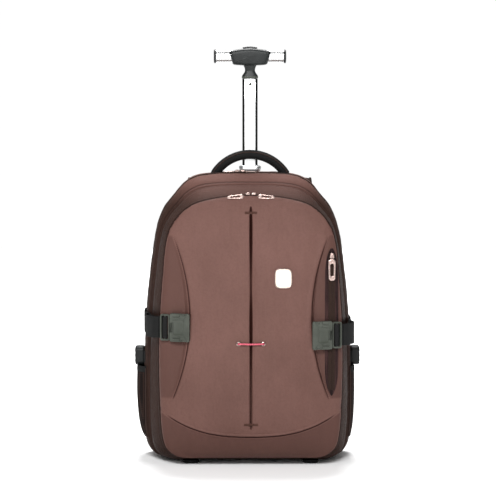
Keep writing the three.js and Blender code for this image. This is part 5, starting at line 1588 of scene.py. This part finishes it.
def t_handle():
    """Silver bar with its end caps, the moulded grip round its middle, and the domed release button with
    its ridges."""
    low, high = source_box("handle_bar")
    z, half = (low[2] + high[2]) / 2, (high[0] - low[0]) / 2
    eased = BAR_RADIUS - 0.3
    profile = [(0, -half), (eased, -half), (BAR_RADIUS, 0.3 - half)]
    profile += [(BAR_RADIUS, half - 0.3), (eased, half), (0, half)]
    bar = revolve(Surface(), profile, [0, TUBE_Y, z], [1, 0, 0], 64)
    shown(bar.build("handle_rod", sharp=40), "handle", SILVER_BAR, "silver_tube", "handle_bar")
    for side, sign in SIGN.items():
        profile = [(0, 60), (11.4, 60), (12.0, 60.6), (12.1, 62.4), (11.2, 63.5), (9, 63.9), (0, 64)]
        cap = revolve(Surface(), profile, [0, TUBE_Y, z], [sign, 0, 0], 64)
        shown(cap.build(f"handle_cap_{side}"), "handle", HANDLE_PLASTIC, "black_plastic", f"bar_cap_{side}")
    low, high = source_box("handle_grip")
    place = placer([0, TUBE_Y, (low[2] + high[2]) / 2], X_WAY, Z_WAY, -Y_WAY)
    grip = Surface()
    deep_plate(grip, grip_loop(), 29, 6.5, place)
    grip = grip.build("handle_mould", sharp=50)
    low_button, high_button = source_box("release_button")
    cut_block(grip, (-13.5, TUBE_Y - 6.5, low_button[2] - 3.6), (13.5, TUBE_Y + 6.5, high[2] + 20))
    shown(grip, "handle", HANDLE_PLASTIC, "black_plastic", "handle_grip")
    tall = high_button[2] - low_button[2]
    button = Surface()
    plate(
        button, rounded_loop(26, 12, 4, 96), tall - 1.4, 1.2,
        standing(0, (low_button[2] + high_button[2]) / 2 - 0.7), dome=1.3
    )
    for step in (-2, -1, 0, 1, 2):
        top = high_button[2] - 0.6 - 0.16 * step**2
        plate(button, rounded_loop(1.3, 7.5, 0.6, 40), 1.0, 0.35, standing(step * 3.4, top))
    shown(button.build("release_key"), "button", BLACK_PLASTIC, "black_plastic", "release_button")


def deep_plate(surface, loop, thickness, edge, place):
    """Plate with a full round edge: rings go in by one minus the cosine as they rise by the sine, then to
    the middle of each face over a shallow crown."""
    half = thickness / 2
    turn = np.linspace(0, np.pi / 2, 9)
    edges = [(edge * (1 - math.cos(t)), half - edge * (1 - math.sin(t))) for t in turn]
    middle = loop.mean(0)
    last = inset(loop, edge)
    faces = []
    for share in (0.8, 0.6, 0.4, 0.2, 0.0):
        faces.append(
            np.column_stack([lerp(middle, last, share), np.full(len(loop), half + 0.2 * (1 - share**2))])
        )
    front = [np.column_stack([inset(loop, a), np.full(len(loop), h)]) for a, h in edges] + faces
    back = [row * [1, 1, -1] for row in front[::-1]]
    return surface.grid(place(np.stack(back + front)), columns_closed=True)


for side_name in SIGN:
    bottle_pocket(side_name)
    side_adjuster(side_name)
    shoulder_strap(side_name)
grab_handle()
back_pad()
trolley()
t_handle()


# Lower webbing, base and wheels


def ladder_lock(side):
    """Plastic ladder lock: a rounded frame with two crossbars, the upper one gripping the webbing."""
    node = f"ladder_lock_{side}"
    low, high = source_box(node)
    middle = (low + high) / 2
    place = placer(middle, X_WAY, Z_WAY, Y_WAY)
    surface = ring_plate(
        Surface(), rounded_loop(34.6, 23.6, 3.6, 120), rounded_loop(27, 16.4, 2, 120), 4.8, place,
        power=0.55
    )
    for up, half, lift in ((0.6, 1.7, 0.6), (-4.8, 1.2, -0.4)):
        bar = place(np.array([[-15, up, lift], [0, up, lift], [15, up, lift]], float))
        sweep(surface, smooth_curve(bar, 10), Z_WAY, half, 1.4, 14, 0.6)
    shown(surface.build(f"lock_frame_{side}"), "bag", BLACK_PLASTIC, "black_plastic", node)


def lower_webbing(side):
    """Webbing from the ladder lock down to the lower corner of the back, its loose end, and its sewn
    corner tab."""
    sign = SIGN[side]
    lock_low, lock_high = source_box(f"ladder_lock_{side}")
    x, back = (lock_low[0] + lock_high[0]) / 2, (lock_low[1] + lock_high[1]) / 2
    top, foot = lock_low[2] - 0.4, source_box("base")[1][2]
    path = [
        [x, back, top + 14], [x, back, top], [x + sign * 4.2, back - 9, lerp(top, foot, 0.45)],
        [x + sign * 8.4, BACK_Y + 3.2, lerp(top, foot, 0.82)]
    ]
    surface = Surface()
    webbing(surface, smooth_curve(path, 90), X_WAY, 12.4, 0.7)
    loose = [
        [x, back + 3.4, top + 12], [x, back + 4.6, top + 2], [x + sign * 1.5, back + 5.2, top - 24],
        [x + sign * 4, back + 3.0, top - 58]
    ]
    webbing(surface, smooth_curve(loose, 60), X_WAY, 12.2, 0.7)
    shown(surface.build(f"lower_web_{side}"), "bag", WEBBING, "black_webbing", f"lower_webbing_{side}")
    shape = np.array([[-15, -9], [15, -9], [13, 9], [-13, 9]], float)
    halfway = lerp(shape, np.roll(shape, -1, 0), 0.5)
    loop = smooth_curve(np.stack([shape, halfway], 1).reshape(-1, 2), 96, closed=True)
    tab = plate(
        Surface(), loop, 1.8, 0.7,
        placer([x + sign * 8.4, BACK_Y + 2.4, lerp(top, foot, 0.82) - 4], X_WAY, Z_WAY, Y_WAY)
    )
    shown(tab.build(f"lower_tab_{side}"), "bag", BINDING, "black_webbing", f"lower_webbing_{side}")


def moulded_copy(name, node, bevel, finish, slot_name):
    """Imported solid's own form with its doubles merged and every sharp edge rounded."""
    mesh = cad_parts[node].data.copy()
    tidy = bmesh.new()
    tidy.from_mesh(mesh)
    tidy.transform(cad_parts[node].matrix_world)
    bmesh.ops.remove_doubles(tidy, verts=tidy.verts, dist=1e-5)
    bmesh.ops.dissolve_limit(tidy, angle_limit=math.radians(1), verts=tidy.verts, edges=tidy.edges)
    tidy.to_mesh(mesh)
    tidy.free()
    piece = bpy.data.objects.new(name, mesh)
    bpy.context.scene.collection.objects.link(piece)
    rounding = piece.modifiers.new("edges", "BEVEL")
    rounding.width, rounding.segments, rounding.limit_method = bevel * MM, 3, "ANGLE"
    rounding.angle_limit, rounding.harden_normals = math.radians(40), False
    apply_changes(piece)
    piece.data.shade_smooth()
    piece.data.set_sharp_from_angle(angle=math.radians(50))
    return shown(piece, "bag", finish, slot_name, node)


def base_tray():
    """Moulded tray under the back with its wheel housings, ribs up its rear face and two skid rails
    below."""
    moulded_copy("base_shell", "base", 1.4, BLACK_PLASTIC, "black_plastic")
    low, high = source_box("base")
    ribs = Surface()
    for x in np.linspace(-84, 84, 8):
        path = np.array([[x, high[1] - 0.6, z] for z in np.linspace(low[2] + 5, high[2] - 6, 14)])
        sweep(ribs, path, X_WAY, 2.2, 1.5, 12, 0.7)
    for sign in (-1, 1):
        path = np.array([[sign * 62, y, low[2] - 0.4] for y in np.linspace(low[1] + 4, high[1] - 5, 16)])
        sweep(ribs, path, X_WAY, 5, 1.6, 14, 0.6)
    shown(ribs.build("base_ribs"), "bag", BLACK_PLASTIC, "black_plastic", "base")


def wheel(side):
    """Rubber tyre with cross grooves, a rim with a boss and six spokes, and the axle pin's domed ends."""
    low, high = source_box(f"tyre_{side}")
    middle = (low + high) / 2
    middle[2] = high[2] / 2
    radius, half = high[2] / 2, (high[0] - low[0]) / 2
    tread = np.linspace(4.02 - half, half - 4, 15)
    side_rows = [
        (radius - 7, 2 - half), (radius - 5.6, 0.7 - half), (radius - 3.6, -half),
        (radius - 1.4, 1 - half), (radius - 0.35, 2.6 - half)
    ]
    other_rows = [(r, -x) for r, x in side_rows[::-1]]
    profile = side_rows + [(radius, x) for x in tread] + other_rows + side_rows[:1]
    crown = np.array([r >= radius - 0.4 for r, _ in profile])[:, None]
    place = np.array([x for _, x in profile])[:, None]

    def grooves(angle, row):
        cross = ease((np.cos(angle * 26 + np.abs(place[row[:, 0]]) * 0.35) - 0.55) / 0.2)
        ring = bell(place[row[:, 0]], 1.0)
        return -0.9 * crown[row[:, 0]] * np.maximum(cross, ring)

    tyre = revolve(Surface(), profile, middle, [1, 0, 0], 416, grooves)
    shown(tyre.build(f"wheel_tyre_{side}"), f"wheel_{side}", RUBBER, "tyre", f"tyre_{side}")
    rim = radius - TYRE_WALL
    hub = Surface()
    rim_rows = [(rim, 2 - half), (rim - 2.6, 2.6 - half), (rim - 3.4, 4 - half)]
    boss_rows = [(HUB_BORE, -half - 0.9), (8.6, -half - 0.9), (9.4, -half), (9.8, 3.5 - half)]
    for rows, sides in ((rim_rows, 96), (boss_rows, 64)):
        mirrored = [(r, -x) for r, x in rows[::-1]]
        revolve(hub, rows + mirrored + rows[:1], middle, X_WAY, sides)
    for turn in np.arange(6) / 6 * 2 * np.pi:
        spoke = np.array([0, math.cos(turn), math.sin(turn)])
        path = middle + np.linspace(9.2, rim - 2.4, 12)[:, None] * spoke
        sweep(hub, path, X_WAY, half - 4.4, 2.1, 14, 0.6)
    shown(
        hub.build(f"wheel_hub_{side}", sharp=40), f"wheel_{side}", GREY_PLASTIC, "grey_plastic",
        f"hub_{side}"
    )
    low, high = source_box(f"axle_{side}")
    reach = (high[0] - low[0]) / 2
    pin = [
        (0, -reach), (2.6, 0.2 - reach), (3.8, 1.2 - reach), (4, 2 - reach), (4, reach - 2),
        (3.8, reach - 1.2), (2.6, reach - 0.2), (0, reach)
    ]
    axle = revolve(Surface(), pin, (low + high) / 2, [1, 0, 0], 48)
    shown(axle.build(f"wheel_pin_{side}"), "bag", STEEL, "silver_trim", f"axle_{side}")


def foot(side):
    """Moulded foot: a low cup with a rolled lip."""
    low, high = source_box(f"foot_{side}")
    middle, tall, wide = (low + high) / 2, high[2] - low[2], (high[0] - low[0]) / 2
    upright = [(0.97, 0.3), (1, 0.45), (0.97, 0.6), (0.93, 0.8), (0.92, 1)]
    profile = [(0, 0), (wide * 0.8, 0), (wide * 0.88, 0.3)]
    profile += [(wide * out, tall * up) for out, up in upright] + [(0, tall)]
    cup = revolve(Surface(), profile, [middle[0], middle[1], low[2]], [0, 0, 1], 72)
    shown(cup.build(f"foot_cup_{side}"), "bag", BLACK_PLASTIC, "black_plastic", f"foot_{side}")


for side_name in SIGN:
    ladder_lock(side_name)
    lower_webbing(side_name)
    wheel(side_name)
    foot(side_name)
base_tray()


# Stage, camera and light


ROOM_LIGHT = 0.22


def backdrop():
    """White screen far behind the bag, glowing evenly, so that the background is plain white from the
    front."""
    across, up = np.meshgrid(np.linspace(-2.4, 2.4, 9), np.linspace(-1.6, 2.6, 7))
    points = np.stack([across, 0 * across + 5, up], -1) / MM
    screen = Surface().grid(points).build("backdrop", shifted=False)
    f = Finish("white screen", Roughness=1, Emission_Strength=1.0)
    cloud = f.noise(0.5, 1)
    tint = f.mix(cloud.step(0.2, 0.8), (0.995, 0.995, 0.995, 1), (1, 1, 1, 1))
    f.paint(Base_Color=f.mix(cloud, (0, 0, 0, 1), (0.001, 0.001, 0.001, 1)), Emission_Color=tint)
    screen.data.materials.append(f.material)


def stage_floor():
    """Plain pale floor: one wide disc, almost white with a faint unevenness. It glows away from the bag,
    so that it stays white, and only near the bag do the lamps' shadows show."""
    turn = np.linspace(0, 2 * np.pi, 96, endpoint=False)
    spread = np.array([0.0, 0.3, 0.8, 2, 5, 12])[:, None] / MM
    points = np.stack([spread * np.cos(turn), spread * np.sin(turn), 0 * spread * turn], -1)
    floor = Surface().grid(points, columns_closed=True).build("floor", shifted=False)
    if floor.data.polygons[0].normal.z < 0:
        floor.data.flip_normals()
    f = Finish("pale floor", Roughness=0.6, Specular_IOR_Level=0.1, Emission_Strength=1.0)
    white = f.mix(f.noise(1.5, 2).step(0.3, 0.7), colour("fdfdfd"), colour("fafafa"))
    x, y, _ = f.parts(f.place())
    far = (x * x + y * y).step(0.05, 1.0)
    f.paint(Base_Color=white, Emission_Color=f.mix(far, (0, 0, 0, 1), (1, 1, 1, 1)))
    floor.data.materials.append(f.material)


def studio_light():
    """Dim pale surroundings, a wide soft key above the front on the left, a weak fill low before it, and
    a top light behind the bag, which throws the soft shadow forwards."""
    world = bpy.data.worlds.new("white room")
    world.use_nodes = True
    world.node_tree.nodes["Background"].inputs[0].default_value = (1, 1, 1, 1)
    world.node_tree.nodes["Background"].inputs[1].default_value = ROOM_LIGHT
    bpy.context.scene.world = world
    for name, place, size, power in [
        ("key", (-0.25, -2.4, 1.8), 1.1, 92),
        ("fill", (-0.4, -2.9, 0.9), 1.0, 14),
        ("top", (0, 0.8, 2.4), 1.0, 85),
    ]:
        lamp = bpy.data.lights.new(name, "AREA")
        lamp.shape, lamp.size, lamp.energy = "DISK", size, power
        held = bpy.data.objects.new(name, lamp)
        held.location = place
        held.rotation_euler = (Vector((0, 0, 0.3)) - Vector(place)).to_track_quat("-Z", "Y").to_euler()
        bpy.context.scene.collection.objects.link(held)
    bpy.context.scene.view_settings.view_transform = "Standard"


# The photograph's frame in pixels, its focal length in pixels, and where the optical axis meets it
PHOTO_WIDTH, PHOTO_HEIGHT = 496, 503
FOCAL_PIXELS = 2000
AXIS_COLUMN, AXIS_ROW = 250.3, 241.8
CAMERA_DISTANCE = 3.5
CAMERA_AIM = (SHIFT[0] * MM, 0, 0.38)
CAMERA_AZIMUTH, CAMERA_ELEVATION = math.radians(-0.6), math.radians(4)


def photo_camera():
    """Camera at the photograph's angle; its small shift puts the optical axis where the photograph has
    it."""
    back = Vector((
        math.sin(CAMERA_AZIMUTH) * math.cos(CAMERA_ELEVATION),
        -math.cos(CAMERA_AZIMUTH) * math.cos(CAMERA_ELEVATION),
        math.sin(CAMERA_ELEVATION),
    ))
    lens = bpy.data.cameras.new("camera")
    lens.sensor_width = 36
    lens.lens = FOCAL_PIXELS * lens.sensor_width / PHOTO_HEIGHT
    lens.shift_x = (PHOTO_WIDTH / 2 - AXIS_COLUMN) / PHOTO_HEIGHT
    lens.shift_y = (AXIS_ROW - PHOTO_HEIGHT / 2) / PHOTO_HEIGHT
    lens.clip_end = 60
    camera = bpy.data.objects.new("camera", lens)
    camera.location = Vector(CAMERA_AIM) + back * CAMERA_DISTANCE
    camera.rotation_mode = "QUATERNION"
    camera.rotation_quaternion = (-back).to_track_quat("-Z", "Y")
    bpy.context.scene.collection.objects.link(camera)
    bpy.context.scene.camera = camera


backdrop()
stage_floor()
studio_light()
photo_camera()
